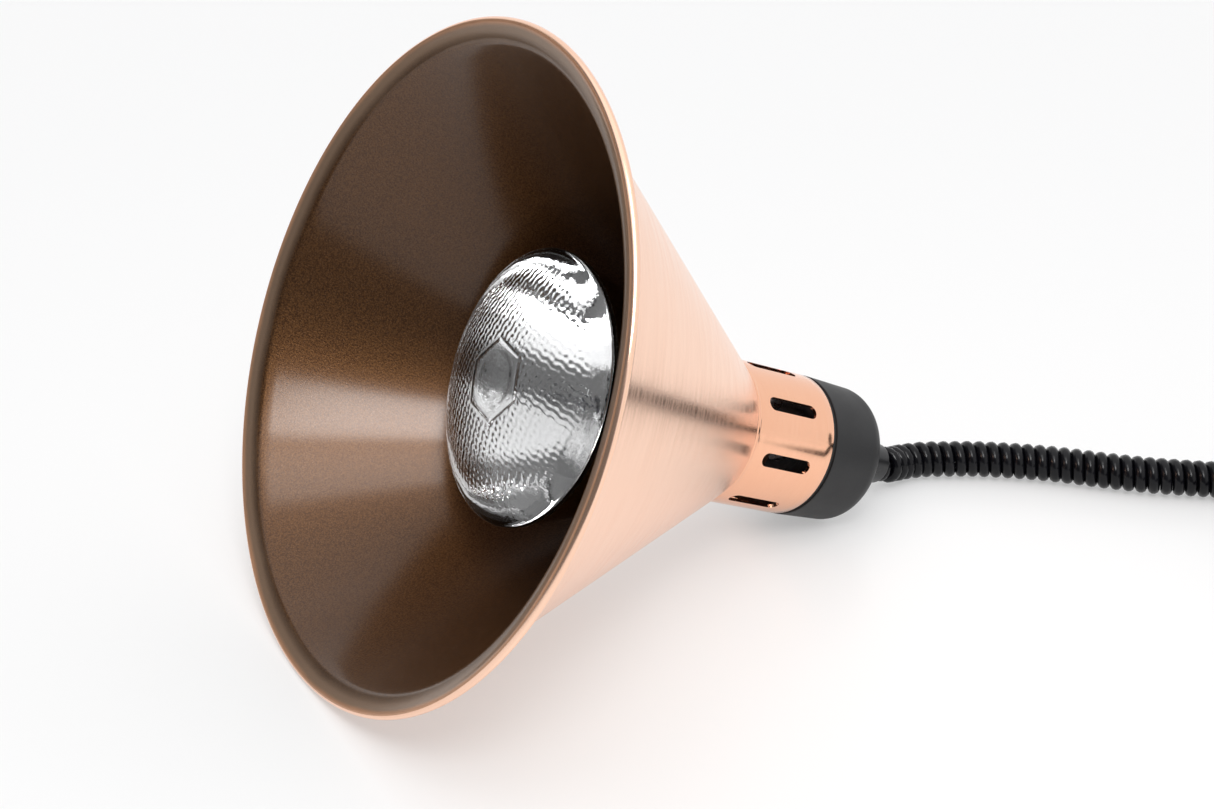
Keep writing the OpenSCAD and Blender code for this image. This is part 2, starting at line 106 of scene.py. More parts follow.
@dataclass(frozen=True)
class CanopyPlace:
    """Sizes of the ceiling canopy and where it lies, in millimetres."""

    rim_r: float = 50.0
    height: float = 36.0
    taper: float = 8.0
    side: float = 30.0
    sheet_t: float = 1.6
    grip_end: float = 54.0
    tip: Point = (435.0, -202.0)

    @property
    def tilt(self) -> float:
        """Lean of the canopy lying on its tapered side, in radians."""
        return math.atan(self.taper / self.side)

    @property
    def centre(self) -> Vector:
        """Middle of the open rim, in metres."""
        x = self.tip[0] + self.grip_end * math.cos(self.tilt)
        return Vector((x, self.tip[1], self.rim_r * math.cos(self.tilt))) * MM

    @property
    def place(self) -> Matrix:
        """Matrix from the canopy's own axes, in millimetres, to the frame."""
        turn = Matrix.Rotation(math.pi, 4, "Z") @ Matrix.Rotation(math.pi / 2 + self.tilt, 4, "Y")
        return Matrix.Translation(self.centre) @ turn @ Matrix.Scale(MM, 4)


LAMP = Lamp()
CANOPY = CanopyPlace()


# ---------------------------------------------------------------- mesh helpers


def arc(centre: Point, radius: float, start: float, end: float, steps: int) -> list[Point]:
    """Points of an arc.

    Args:
        centre: Radius and height of the middle, in millimetres.
        radius: Radius of the arc.
        start: First angle in degrees; 0 points outwards and 90 along the axis.
        end: Last angle in degrees.
        steps: Number of equal steps.

    Returns:
        The points from start to end.
    """
    angles = [math.radians(start + (end - start) * i / steps) for i in range(steps + 1)]
    return [(centre[0] + radius * math.cos(a), centre[1] + radius * math.sin(a)) for a in angles]


def line(start: Point, end: Point, steps: int) -> list[Point]:
    """Points along a straight line.

    Args:
        start: First point.
        end: Last point.
        steps: Number of equal steps.

    Returns:
        The points from start to end.
    """
    return [tuple(a + (b - a) * i / steps for a, b in zip(start, end)) for i in range(steps + 1)]


def link(data: bpy.types.ID, name: str) -> bpy.types.Object:
    """Puts a mesh, curve, light or camera into the scene as an object of that name."""
    piece = bpy.data.objects.new(name, data)
    bpy.context.scene.collection.objects.link(piece)
    return piece


def ring(build: bmesh.types.BMesh, radius: float, z: float, count: int) -> list[bmesh.types.BMVert]:
    """Adds a ring of equally spaced points about the z axis."""
    angles = [2 * math.pi * k / count for k in range(count)]
    return [build.verts.new((radius * math.cos(a), radius * math.sin(a), z)) for a in angles]


def revolve(
    name: str,
    profile: Sequence[Point],
    place: Matrix,
    finishes: Sequence[bpy.types.Material],
    finish_of: Callable[[int], int] = lambda index: 0,
    segments: int = 192,
) -> bpy.types.Object:
    """Turns a closed outline about the z axis, which it stays clear of.

    Args:
        name: Name of the piece.
        profile: Radius and height of each point, in millimetres.
        place: Matrix into the frame.
        finishes: Materials of the piece.
        finish_of: Which material the band after each profile point takes.
        segments: Number of faces round the axis.

    Returns:
        The piece, with u round the axis and v along the outline in its UV map.
    """
    build = bmesh.new()
    uv = build.loops.layers.uv.new("turned")
    rings = [ring(build, radius, z, segments) for radius, z in profile]
    lengths = [0.0]
    for here, there in zip(profile, list(profile[1:]) + [profile[0]]):
        lengths.append(lengths[-1] + math.dist(here, there) * MM)
    for i, low in enumerate(rings):
        high = rings[(i + 1) % len(rings)]
        for k in range(segments):
            after = (k + 1) % segments
            corners = [(low[k], k, i), (low[after], k + 1, i)]
            corners += [(high[after], k + 1, i + 1), (high[k], k, i + 1)]
            face = build.faces.new([vertex for vertex, _, _ in corners])
            face.material_index = finish_of(i)
            face.smooth = True
            for loop, (_, column, row) in zip(face.loops, corners):
                loop[uv].uv = (column / segments, lengths[row])
    return to_piece(build, name, place, finishes)


def to_piece(
    build: bmesh.types.BMesh, name: str, place: Matrix, finishes: Sequence[bpy.types.Material]
) -> bpy.types.Object:
    """Makes an object of a finished build, which is freed.

    Args:
        build: The build, in millimetres.
        name: Name of the piece.
        place: Matrix into the frame.
        finishes: Materials of the piece.

    Returns:
        The piece, with its normals turned outwards.
    """
    bmesh.ops.transform(build, matrix=place, verts=build.verts)
    bmesh.ops.recalc_face_normals(build, faces=build.faces)
    mesh = bpy.data.meshes.new(name)
    build.to_mesh(mesh)
    build.free()
    for finish in finishes:
        mesh.materials.append(finish)
    return link(mesh, name)


def bridge(
    build: bmesh.types.BMesh, loops: Sequence[Sequence[bmesh.types.BMVert]], smooth: bool = True
) -> None:
    """Joins closed loops of equally many points, each to the next.

    Args:
        build: The build that gets the faces.
        loops: The loops in order.
        smooth: Whether the faces are shaded smooth.
    """
    for low, high in zip(loops, loops[1:]):
        for k in range(len(low)):
            after = (k + 1) % len(low)
            build.faces.new((low[k], low[after], high[after], high[k])).smooth = smooth


def sharpen(piece: bpy.types.Object, degrees: float = 32.0) -> None:
    """Marks the edges that turn by more than an angle as sharp, so that smooth shading stops there."""
    mesh = piece.data
    build = bmesh.new()
    build.from_mesh(mesh)
    for edge in build.edges:
        if len(edge.link_faces) == 2:
            edge.smooth = edge.calc_face_angle(0.0) < math.radians(degrees)
    build.to_mesh(mesh)
    build.free()


def add_modifier(piece: bpy.types.Object, kind: str, **values: object) -> bpy.types.Modifier:
    """Adds a modifier and sets its values.

    Args:
        piece: The piece.
        kind: Type of the modifier.
        **values: Values of the modifier by name.

    Returns:
        The modifier.
    """
    modifier = piece.modifiers.new(kind.lower(), kind)
    for key, value in values.items():
        setattr(modifier, key, value)
    return modifier


def freeze(piece: bpy.types.Object, name: str) -> bpy.types.Object:
    """Makes what a piece's modifiers show into a plain mesh.

    Args:
        piece: Object with modifiers; it is removed.
        name: Name of the new piece.

    Returns:
        The new piece.
    """
    shown = piece.evaluated_get(bpy.context.evaluated_depsgraph_get())
    mesh = bpy.data.meshes.new_from_object(shown)
    bpy.data.objects.remove(piece)
    mesh.name = name
    return link(mesh, name)


# ---------------------------------------------------------------- shader helpers


class Graph:
    """A node tree that is filled by short calls."""

    def __init__(self, tree: bpy.types.NodeTree) -> None:
        """Takes the tree to fill."""
        self.tree = tree

    def add(self, kind: str, values: Values | None = None, **settings: object) -> bpy.types.Node:
        """Adds a node.

        Args:
            kind: Type of the node.
            values: Input sockets by name or number, each with a value or a socket to link from.
            **settings: Properties of the node.

        Returns:
            The node.
        """
        node = self.tree.nodes.new(kind)
        for key, value in settings.items():
            setattr(node, key, value)
        self.set(node, values or {})
        return node

    def set(self, node: bpy.types.Node, values: Values) -> None:
        """Fills input sockets of a node.

        Args:
            node: The node.
            values: Sockets by name or number, each with a value or a socket to link from.
        """
        for key, value in values.items():
            if isinstance(value, bpy.types.NodeSocket):
                self.tree.links.new(value, node.inputs[key])
            else:
                node.inputs[key].default_value = value

    def effect(self, name: str, where: object, **values: float) -> bpy.types.Node:
        """Adds a shared effect.

        Args:
            name: Name of the effect's group.
            where: Coordinates that it follows.
            **values: Its other inputs by name.

        Returns:
            The group's node.
        """
        return self.add("ShaderNodeGroup", {"Vector": where, **values}, node_tree=Effects.get(name))

    def math(self, operation: str, *values: object, clamp: bool = False) -> bpy.types.NodeSocket:
        """Adds a math node and returns its result."""
        node = self.add("ShaderNodeMath", dict(enumerate(values)), operation=operation, use_clamp=clamp)
        return node.outputs[0]

    def ramp(self, value: object, low: float, high: float, to: Point = (0.0, 1.0)) -> bpy.types.NodeSocket:
        """Maps a value smoothly from one range to another.

        Args:
            value: The socket that is mapped.
            low: Where the range starts.
            high: Where the range ends.
            to: The two ends of the result.

        Returns:
            The mapped value.
        """
        inputs = {"Value": value, "From Min": low, "From Max": high, "To Min": to[0], "To Max": to[1]}
        return self.add("ShaderNodeMapRange", inputs, interpolation_type="SMOOTHSTEP").outputs["Result"]

    def blend(self, factor: object, first: object, second: object) -> bpy.types.NodeSocket:
        """Mixes two colours.

        Args:
            factor: Mask between 0 and 1.
            first: Colour at 0.
            second: Colour at 1.

        Returns:
            The mixed colour.
        """
        ends = [end if isinstance(end, bpy.types.NodeSocket) else rgba(end) for end in (first, second)]
        return self.add("ShaderNodeMix", {0: factor, 6: ends[0], 7: ends[1]}, data_type="RGBA").outputs[2]

    def bump(self, height: object, strength: float, distance: float) -> bpy.types.NodeSocket:
        """Adds a bump node and returns its normal."""
        node = self.add("ShaderNodeBump", {"Height": height, "Strength": strength, "Distance": distance})
        return node.outputs["Normal"]


def rgba(colour: Sequence[float]) -> tuple[float, ...]:
    """Gives a colour its alpha."""
    return tuple(colour) + (1.0,) if len(colour) == 3 else tuple(colour)


def new_group(name: str, inputs: Sockets, outputs: Iterable[str]) -> tuple[Graph, object, object]:
    """Makes an empty shader node group.

    Args:
        name: Name of the group.
        inputs: Kind and default of each input.
        outputs: Names of its number outputs.

    Returns:
        The graph to fill, the node of its inputs and the node of its outputs.
    """
    tree = bpy.data.node_groups.new(name, "ShaderNodeTree")
    for key, (kind, default) in inputs.items():
        socket = tree.interface.new_socket(key, in_out="INPUT", socket_type=kind)
        if default is not None:
            socket.default_value = default
    for key in outputs:
        tree.interface.new_socket(key, in_out="OUTPUT", socket_type="NodeSocketFloat")
    graph = Graph(tree)
    return graph, graph.add("NodeGroupInput"), graph.add("NodeGroupOutput")


def float_in(default: float) -> tuple[str, float]:
    """Describes a number input of a group."""
    return ("NodeSocketFloat", default)


VECTOR_IN = ("NodeSocketVector", None)


class Effects:
    """Shader node groups that several finishes share."""

    made: ClassVar[dict[str, bpy.types.NodeTree]] = {}

    @classmethod
    def get(cls, name: str) -> bpy.types.NodeTree:
        """Returns a shared group, and builds it the first time."""
        if name not in cls.made:
            cls.made[name] = getattr(cls, name)()
        return cls.made[name]

    @staticmethod
    def turned_lines() -> bpy.types.NodeTree:
        """Fine lines round an axis, as a lathe or a brush leaves them."""
        inputs = {"Vector": VECTOR_IN, "Lines": float_in(4000.0), "Drift": float_in(3.0)}
        graph, given, out = new_group("turned_lines", inputs, ("Fine", "Broad"))
        split = graph.add("ShaderNodeSeparateXYZ", {0: given.outputs["Vector"]})
        x2 = graph.math("MULTIPLY", split.outputs[0], split.outputs[0])
        y2 = graph.math("MULTIPLY", split.outputs[1], split.outputs[1])
        across = graph.math("SQRT", graph.math("ADD", x2, y2))
        along = graph.math("SUBTRACT", split.outputs[2], graph.math("MULTIPLY", across, 0.6))
        shares = [graph.math("DIVIDE", split.outputs[i], across) for i in (0, 1)]
        sides = [graph.math("MULTIPLY", share, given.outputs["Drift"]) for share in shares]
        for output, share, detail in (("Fine", 1.0, 2.0), ("Broad", 0.06, 3.0)):
            height = graph.math("MULTIPLY", graph.math("MULTIPLY", along, given.outputs["Lines"]), share)
            place = graph.add("ShaderNodeCombineXYZ", dict(enumerate([*sides, height])))
            values = {"Vector": place.outputs[0], "Scale": 1.0, "Detail": detail}
            noise = graph.add("ShaderNodeTexNoise", values)
            graph.tree.links.new(noise.outputs["Fac"], out.inputs[output])
        return graph.tree

    @staticmethod
    def fine_grain() -> bpy.types.NodeTree:
        """Small round grain with a slow variation over the surface."""
        inputs = {"Vector": VECTOR_IN, "Scale": float_in(900.0), "Patch": float_in(25.0)}
        graph, given, out = new_group("fine_grain", inputs, ("Grain", "Patches"))
        for output, scale, detail in (("Grain", "Scale", 3.0), ("Patches", "Patch", 4.0)):
            values = {"Vector": given.outputs["Vector"], "Scale": given.outputs[scale], "Detail": detail}
            noise = graph.add("ShaderNodeTexNoise", values)
            graph.tree.links.new(noise.outputs["Fac"], out.inputs[output])
        return graph.tree

    @staticmethod
    def specks() -> bpy.types.NodeTree:
        """Scattered specks of dust or pigment."""
        inputs = {"Vector": VECTOR_IN, "Scale": float_in(400.0), "Size": float_in(0.15)}
        graph, given, out = new_group("specks", inputs, ("Mask",))
        values = {key: given.outputs[key] for key in ("Vector", "Scale")}
        cells = graph.add("ShaderNodeTexVoronoi", values)
        near = graph.math("LESS_THAN", cells.outputs["Distance"], given.outputs["Size"])
        graph.tree.links.new(near, out.inputs["Mask"])
        return graph.tree


# ---------------------------------------------------------------- finishes


@dataclass(frozen=True)
class Finish:
    """What every finish has: a name and one material, made the first time it is asked for."""

    name: str

    made: ClassVar[dict[str, bpy.types.Material]] = {}

    def material(self) -> bpy.types.Material:
        """Returns this finish's material."""
        if self.name not in Finish.made:
            material = bpy.data.materials.new(self.name)
            material.use_nodes = True
            graph = Graph(material.node_tree)
            self.paint(graph, material.node_tree.nodes["Principled BSDF"])
            Finish.made[self.name] = material
        return Finish.made[self.name]

    def paint(self, graph: Graph, shader: bpy.types.Node) -> None:
        """Fills the material; each finish does it in its own way.

        Args:
            graph: The material's nodes.
            shader: Its surface shader.
        """
        raise NotImplementedError

    @staticmethod
    def place(graph: Graph, axis: "Axis") -> bpy.types.NodeSocket:
        """Returns object coordinates turned to an axis of the object.

        Args:
            graph: The material's nodes.
            axis: Whose axes the pattern follows.

        Returns:
            The coordinates, in metres.
        """
        coordinates = graph.add("ShaderNodeTexCoord").outputs["Object"]
        if axis is Axis.NONE:
            return coordinates
        place, turn = axis.value
        values = {"Vector": coordinates, "Location": place, "Rotation": turn}
        return graph.add("ShaderNodeMapping", values, vector_type="TEXTURE").outputs["Vector"]


class Axis(Enum):
    """Axes that a pattern can follow: where they start and how they are turned."""

    NONE = None
    LAMP = (tuple(LAMP.mouth), LAMP.turn)


@dataclass(frozen=True)
class Turned(Finish):
    """Metal with fine lines round its axis: brushed copper, zinc plate, brass, aluminium."""

    colour: Colour
    shade_to: Colour
    roughness: float = 0.22
    spread: float = 0.07
    lines: float = 5200.0
    relief: float = 0.25
    anisotropic: float = 0.0

    def paint(self, graph: Graph, shader: bpy.types.Node) -> None:
        """Colour and gloss vary from line to line."""
        where = self.place(graph, Axis.LAMP)
        lines = graph.effect("turned_lines", where, Lines=self.lines)
        grain = graph.effect("fine_grain", where, Scale=1400.0, Patch=18.0)
        tone = graph.ramp(lines.outputs["Fine"], 0.3, 0.72)
        slow = graph.ramp(grain.outputs["Patches"], 0.35, 0.7)
        tone = graph.math("ADD", graph.math("MULTIPLY", tone, 0.7), graph.math("MULTIPLY", slow, 0.3))
        limits = (self.roughness - self.spread / 2, self.roughness + self.spread)
        values = {
            "Base Color": graph.blend(tone, self.shade_to, self.colour),
            "Roughness": graph.ramp(lines.outputs["Broad"], 0.3, 0.7, limits),
            "Metallic": 1.0,
            "Normal": graph.bump(lines.outputs["Fine"], self.relief, 0.00003),
        }
        if self.anisotropic:
            tangent = graph.add("ShaderNodeTangent", direction_type="UV_MAP", uv_map="turned").outputs[0]
            values |= {"Anisotropic": self.anisotropic, "Anisotropic Rotation": 0.25, "Tangent": tangent}
        graph.set(shader, values)


@dataclass(frozen=True)
class Enamel(Finish):
    """Fired bronze enamel with an orange-peel surface, paler and drier on the lip."""

    colour: Colour = (0.120, 0.056, 0.018)
    dark: Colour = (0.056, 0.021, 0.004)
    speck: Colour = (0.18, 0.10, 0.055)
    lip: Colour = (0.42, 0.315, 0.245)
    copper: Colour = (0.80, 0.46, 0.30)

    def paint(self, graph: Graph, shader: bpy.types.Node) -> None:
        """A speckled ground, a pale lip band and a breath of copper at the very edge."""
        where = self.place(graph, Axis.LAMP)
        grain = graph.effect("fine_grain", where, Scale=1300.0, Patch=22.0)
        specks = graph.effect("specks", where, Scale=1100.0, Size=0.25)
        ground = graph.blend(graph.ramp(grain.outputs["Grain"], 0.32, 0.68), self.dark, self.colour)
        ground = graph.blend(graph.math("MULTIPLY", specks.outputs["Mask"], 0.5), ground, self.speck)
        split = graph.add("ShaderNodeSeparateXYZ", {0: where})
        depth = graph.math("ADD", split.outputs[2], graph.math("MULTIPLY", grain.outputs["Patches"], 0.0012))
        lip = graph.ramp(depth, 0.0044, 0.0022)
        edge = graph.ramp(depth, 0.0016, 0.0004)
        colour = graph.blend(graph.math("MULTIPLY", lip, 0.7), ground, self.lip)
        gloss = graph.ramp(grain.outputs["Grain"], 0.3, 0.7, (0.36, 0.46))
        graph.set(shader, {
            "Base Color": graph.blend(graph.math("MULTIPLY", edge, 0.8), colour, self.copper),
            "Roughness": graph.math("ADD", gloss, graph.math("MULTIPLY", lip, 0.1)),
            "Metallic": 0.86,
            "Coat Weight": 0.7,
            "Coat Roughness": 0.17,
            "Coat Tint": (1.0, 0.88, 0.74, 1.0),
            "Normal": graph.bump(grain.outputs["Grain"], 0.85, 0.00014),
        })


@dataclass(frozen=True)
class Moulded(Finish):
    """Moulded plastic, rubber, ceramic or wire insulation."""

    colour: Colour
    pale: Colour
    roughness: float = 0.45
    grain: float = 1500.0
    relief: float = 0.15
    coat: float = 0.0
    specular: float = 0.5

    def paint(self, graph: Graph, shader: bpy.types.Node) -> None:
        """A fine grain with slow patches, a little dust and a varying gloss."""
        where = self.place(graph, Axis.NONE)
        grain = graph.effect("fine_grain", where, Scale=self.grain, Patch=30.0)
        dust = graph.effect("specks", where, Scale=260.0, Size=0.05)
        tone = graph.ramp(grain.outputs["Patches"], 0.3, 0.75)
        fine = graph.ramp(grain.outputs["Grain"], 0.35, 0.8)
        tone = graph.math("ADD", graph.math("MULTIPLY", tone, 0.5), graph.math("MULTIPLY", fine, 0.5))
        tone = graph.math("ADD", tone, graph.math("MULTIPLY", dust.outputs["Mask"], 0.4), clamp=True)
        limits = (self.roughness * 0.9, min(1.0, self.roughness * 1.18))
        graph.set(shader, {
            "Base Color": graph.blend(tone, self.colour, self.pale),
            "Roughness": graph.ramp(grain.outputs["Patches"], 0.3, 0.7, limits),
            "Coat Weight": self.coat,
            "Coat Roughness": 0.1,
            "Specular IOR Level": self.specular,
            "Normal": graph.bump(grain.outputs["Grain"], self.relief, 0.00008),
        })


@dataclass(frozen=True)
class PressedGlass(Finish):
    """Clear pressed glass with a waved surface."""

    tint: Colour = (0.995, 0.997, 1.0)
    roughness: float = 0.004
    wave: float = 260.0
    relief: float = 0.2

    def paint(self, graph: Graph, shader: bpy.types.Node) -> None:
        """Glass with slow waves and a faint tint that varies."""
        grain = graph.effect("fine_grain", self.place(graph, Axis.LAMP), Scale=self.wave, Patch=40.0)
        tone = graph.ramp(grain.outputs["Patches"], 0.3, 0.7)
        smoky = tuple(c * 0.97 for c in self.tint)
        limits = (self.roughness, self.roughness * 2.5)
        graph.set(shader, {
            "Base Color": graph.blend(tone, self.tint, smoky),
            "Roughness": graph.ramp(grain.outputs["Patches"], 0.3, 0.7, limits),
            "Transmission Weight": 1.0,
            "IOR": 1.47,
            "Normal": graph.bump(grain.outputs["Grain"], self.relief, 0.0002),
        })


@dataclass(frozen=True)
class Silvered(Finish):
    """Vacuum-deposited aluminium on glass: a mirror with soft waves."""

    colour: Colour = (0.985, 0.985, 0.985)
    roughness: float = 0.012
    relief: float = 0.35

    def paint(self, graph: Graph, shader: bpy.types.Node) -> None:
        """A waved mirror with a few duller clouds."""
        grain = graph.effect("fine_grain", self.place(graph, Axis.LAMP), Scale=120.0, Patch=35.0)
        tone = graph.ramp(grain.outputs["Patches"], 0.4, 0.75)
        dull = tuple(c * 0.96 for c in self.colour)
        limits = (self.roughness, self.roughness * 2.4)
        graph.set(shader, {
            "Base Color": graph.blend(tone, self.colour, dull),
            "Roughness": graph.ramp(grain.outputs["Patches"], 0.35, 0.8, limits),
            "Metallic": 1.0,
            "Normal": graph.bump(grain.outputs["Grain"], self.relief, 0.0006),
        })


@dataclass(frozen=True)
class Woven(Finish):
    """Narrow woven tape."""

    colour: Colour = (0.02, 0.02, 0.022)
    pale: Colour = (0.075, 0.075, 0.08)
    threads: float = 1400.0

    def paint(self, graph: Graph, shader: bpy.types.Node) -> None:
        """Two crossing sets of threads."""
        values = {"Vector": self.place(graph, Axis.NONE), "Scale": self.threads, "Distortion": 1.0}
        waves = [graph.add("ShaderNodeTexWave", values, bands_direction=way) for way in "XZ"]
        weave = graph.math("MULTIPLY", *(wave.outputs["Fac"] for wave in waves))
        graph.set(shader, {
            "Base Color": graph.blend(weave, self.colour, self.pale),
            "Roughness": graph.ramp(weave, 0.0, 1.0, (0.95, 0.75)),
            "Sheen Weight": 0.3,
            "Normal": graph.bump(weave, 0.6, 0.0002),
        })


# Shade copper is paler than the neck copper. This is partly a real difference between spun sheet and tube,
# and partly a painted highlight that brightens the whole cone.
COPPER_PAINTED_BRIGHT = Turned("brushed_copper_painted_bright", (0.98, 0.66, 0.50), (0.965, 0.625, 0.46), 0.22, 0.05, anisotropic=0.3)
NECK_COPPER = Turned("neck_copper", (0.95, 0.545, 0.37), (0.925, 0.50, 0.325), 0.12, 0.04, anisotropic=0.5)
ENAMEL = Enamel("bronze_enamel")
CAP_BLACK = Moulded("cap_matte_black", (0.006, 0.006, 0.0068), (0.011, 0.011, 0.012), 0.5, 1100.0, 0.35)
TRIM_BLACK = Moulded("trim_semi_gloss_black", (0.004, 0.004, 0.005), (0.008, 0.008, 0.01), 0.3, 900.0, 0.12)
GASKET = Moulded("gasket_rubber", (0.004, 0.004, 0.004), (0.009, 0.009, 0.009), 0.6, 800.0, 0.2)
SHEATH = Moulded(
    "glossy_cord_sheath", (0.002, 0.002, 0.003), (0.004, 0.004, 0.006), 0.2, 700.0, 0.18, specular=0.25
)
ZINC = Turned("zinc_plate", (0.66, 0.67, 0.69), (0.52, 0.53, 0.55), 0.3, 0.12, 2600.0, 0.15)
# Near-black steel for the yoke.
DARK_STEEL = Turned("dark_yoke_steel", (0.075, 0.075, 0.08), (0.035, 0.035, 0.037), 0.4, 0.1, 2600.0, 0.15)
BRASS = Turned("brass", (0.84, 0.63, 0.28), (0.66, 0.46, 0.18), 0.28, 0.12, 2600.0, 0.15)
ALUMINIUM = Turned("spun_aluminium", (0.82, 0.82, 0.83), (0.66, 0.66, 0.68), 0.24, 0.1, 3200.0, 0.2)
# Painted shade: the lamp holder is glazed a near-black brown so that the vent slots look dark inside; the
# real holder's colour is not known.
CERAMIC_PAINTED_SHADE = Moulded("glazed_ceramic_painted_shade", (0.055, 0.030, 0.020), (0.085, 0.048, 0.032), 0.16, 500.0, 0.12, coat=0.6)
GLASS = PressedGlass("pressed_lens_glass")
MIRROR = Silvered("aluminised_bowl")
STEM_GLASS = PressedGlass("stem_glass", (0.95, 0.97, 0.96), 0.03, 400.0, 0.1)
BLACK_GLASS = Moulded(
    "base_black_glass", (0.012, 0.012, 0.016), (0.022, 0.022, 0.027), 0.12, 600.0, 0.1, coat=0.5
)
TUNGSTEN = Turned("tungsten_wire", (0.36, 0.36, 0.38), (0.22, 0.22, 0.24), 0.42, 0.1, 6000.0, 0.2)
TAPE = Woven("woven_tape")
BROWN_WIRE = Moulded("brown_insulation", (0.16, 0.055, 0.022), (0.22, 0.085, 0.04), 0.35, 900.0, 0.1)
BLUE_WIRE = Moulded("blue_insulation", (0.02, 0.075, 0.26), (0.035, 0.11, 0.33), 0.35, 900.0, 0.1)
GREEN_WIRE = Moulded("green_insulation", (0.06, 0.24, 0.035), (0.42, 0.42, 0.03), 0.35, 60.0, 0.1)
IVORY = Moulded("ivory_block", (0.62, 0.60, 0.53), (0.72, 0.70, 0.63), 0.35, 900.0, 0.1)
CANOPY_BLACK = Moulded("canopy_satin_black", (0.020, 0.020, 0.022), (0.036, 0.036, 0.038), 0.38, 1000.0, 0.3)


def dress(nodes: Iterable[str], finish: Finish) -> None:
    """Gives CAD nodes a finish.

    Args:
        nodes: Names of the nodes.
        finish: Their finish.
    """
    for name in nodes:
        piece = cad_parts[name]
        material = finish.material()
        if not piece.data.materials:
            piece.data.materials.append(material)
        for slot in piece.material_slots:
            slot.material = material
        LOG.info("dressed %s in %s", name, finish.name)


def settle(piece: bpy.types.Object, body: str, slot: str, *nodes: str) -> bpy.types.Object:
    """Ties a piece to its body and to the CAD nodes it stands for.

    Args:
        piece: The piece.
        body: Body that it moves with.
        slot: Material slot of the record; not used.
        *nodes: CAD nodes that it replaces.

    Returns:
        The piece.
    """
    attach(piece, body)
    if nodes:
        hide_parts(*nodes)
    LOG.info("made %s on %s", piece.name, body)
    return piece


# ---------------------------------------------------------------- studio


@dataclass
class Studio:
    """Camera, floor, light and surroundings."""

    camera_at: Vector = field(default_factory=lambda: Vector((-366.35, -612.8, 444.3)) * MM)
    forward: Vector = field(default_factory=lambda: Vector((0.4562, 0.7696, -0.4467)))
    lens: float = 53.12
    floor_size: float = 9.0
    floor_left: float = 0.8
    wall: Colour = (0.995, 0.995, 1.0)
    dimming: float = 0.82
    table_glow: float = 0.39

    def build(self) -> None:
        """Makes everything that isn't the object."""
        self.make_camera()
        self.make_floor()
        self.make_world()
        self.make_lights()

    def make_camera(self) -> None:
        """Sets the camera at the viewing angle, level with the horizon."""
        data = bpy.data.cameras.new("camera")
        data.sensor_width = 36.0
        data.lens = self.lens
        data.clip_start = 0.01
        camera = link(data, "camera")
        camera.location = self.camera_at
        camera.rotation_mode = "QUATERNION"
        camera.rotation_quaternion = self.forward.to_track_quat("-Z", "Y")
        bpy.context.scene.camera = camera

    def make_floor(self) -> None:
        """Lays a pale, slightly glossy light table under everything."""
        half, left = self.floor_size / 2, -self.floor_left
        mesh = bpy.data.meshes.new("floor")
        corners = [(left, -half, 0), (half, -half, 0), (half, half, 0), (left, half, 0)]
        mesh.from_pydata([(x, y, z - 0.0002) for x, y, z in corners], [], [(0, 1, 2, 3)])
        material = bpy.data.materials.new("white_board")
        material.use_nodes = True
        shader = material.node_tree.nodes["Principled BSDF"]
        Graph(material.node_tree).set(shader, {
            "Base Color": (0.46, 0.46, 0.46, 1.0),
            "Roughness": 0.32,
            "Specular IOR Level": 0.35,
            "Emission Color": (1.0, 1.0, 1.0, 1.0),
            "Emission Strength": self.table_glow,
        })
        mesh.materials.append(material)
        link(mesh, "floor")

    def make_world(self) -> None:
        """Surrounds the scene with a pale room; seen straight on, it is plain white."""
        world = bpy.data.worlds.new("studio")
        world.use_nodes = True
        bpy.context.scene.world = world
        graph = Graph(world.node_tree)
        nodes = world.node_tree.nodes
        background, out = nodes["Background"], nodes["World Output"]
        direction = graph.add("ShaderNodeTexCoord").outputs["Generated"]
        split = graph.add("ShaderNodeSeparateXYZ", {0: direction})
        x, z = split.outputs[0], split.outputs[2]
        room = self.room_light(graph, x, z)
        graph.set(background, {"Strength": room, "Color": rgba(self.wall)})
        plain = graph.add("ShaderNodeBackground", {"Color": (1.0, 1.0, 1.0, 1.0), "Strength": 1.0})
        straight = graph.add("ShaderNodeLightPath").outputs["Is Camera Ray"]
        mix = graph.add("ShaderNodeMixShader", {0: straight, 1: background.outputs[0], 2: plain.outputs[0]})
        graph.tree.links.new(mix.outputs[0], out.inputs["Surface"])

    def room_light(self, graph: Graph, x: object, z: object) -> bpy.types.NodeSocket:
        """Brightness of the room by direction: white walls, a brighter ceiling and one dim side.

        Args:
            graph: The world's nodes.
            x: Sideways part of the direction.
            z: Upward part of the direction.

        Returns:
            The brightness.
        """
        walls = graph.ramp(z, 0.72, 0.84, (0.98, 1.25))
        beside = graph.ramp(x, -0.14, -0.36)
        low = graph.ramp(z, 0.82, 0.74)
        dim = graph.math("MULTIPLY", graph.math("MULTIPLY", beside, low), -self.dimming)
        return graph.math("MULTIPLY", walls, graph.math("ADD", dim, 1.0))

    def make_lights(self) -> None:
        """Hangs two soft boxes over the viewer's shoulder, the upper one weaker."""
        azimuth, far, aim = math.radians(-24.0), 1.6, Vector((0.0, 0.0, 0.1))
        for name, rise, width, power in (("key_box", 53.0, 0.5, 9.5), ("top_box", 74.0, 0.6, 3.2)):
            flat, high = math.cos(math.radians(rise)) * far, math.sin(math.radians(rise)) * far
            at = Vector((math.sin(azimuth) * flat, -math.cos(azimuth) * flat, high))
            data = bpy.data.lights.new(name, "AREA")
            data.shape = "RECTANGLE"
            data.size, data.size_y = width, 0.5
            data.energy = power
            light = link(data, name)
            light.location = at
            light.rotation_mode = "QUATERNION"
            light.rotation_quaternion = (aim - at).to_track_quat("-Z", "Y")


# ---------------------------------------------------------------- cord


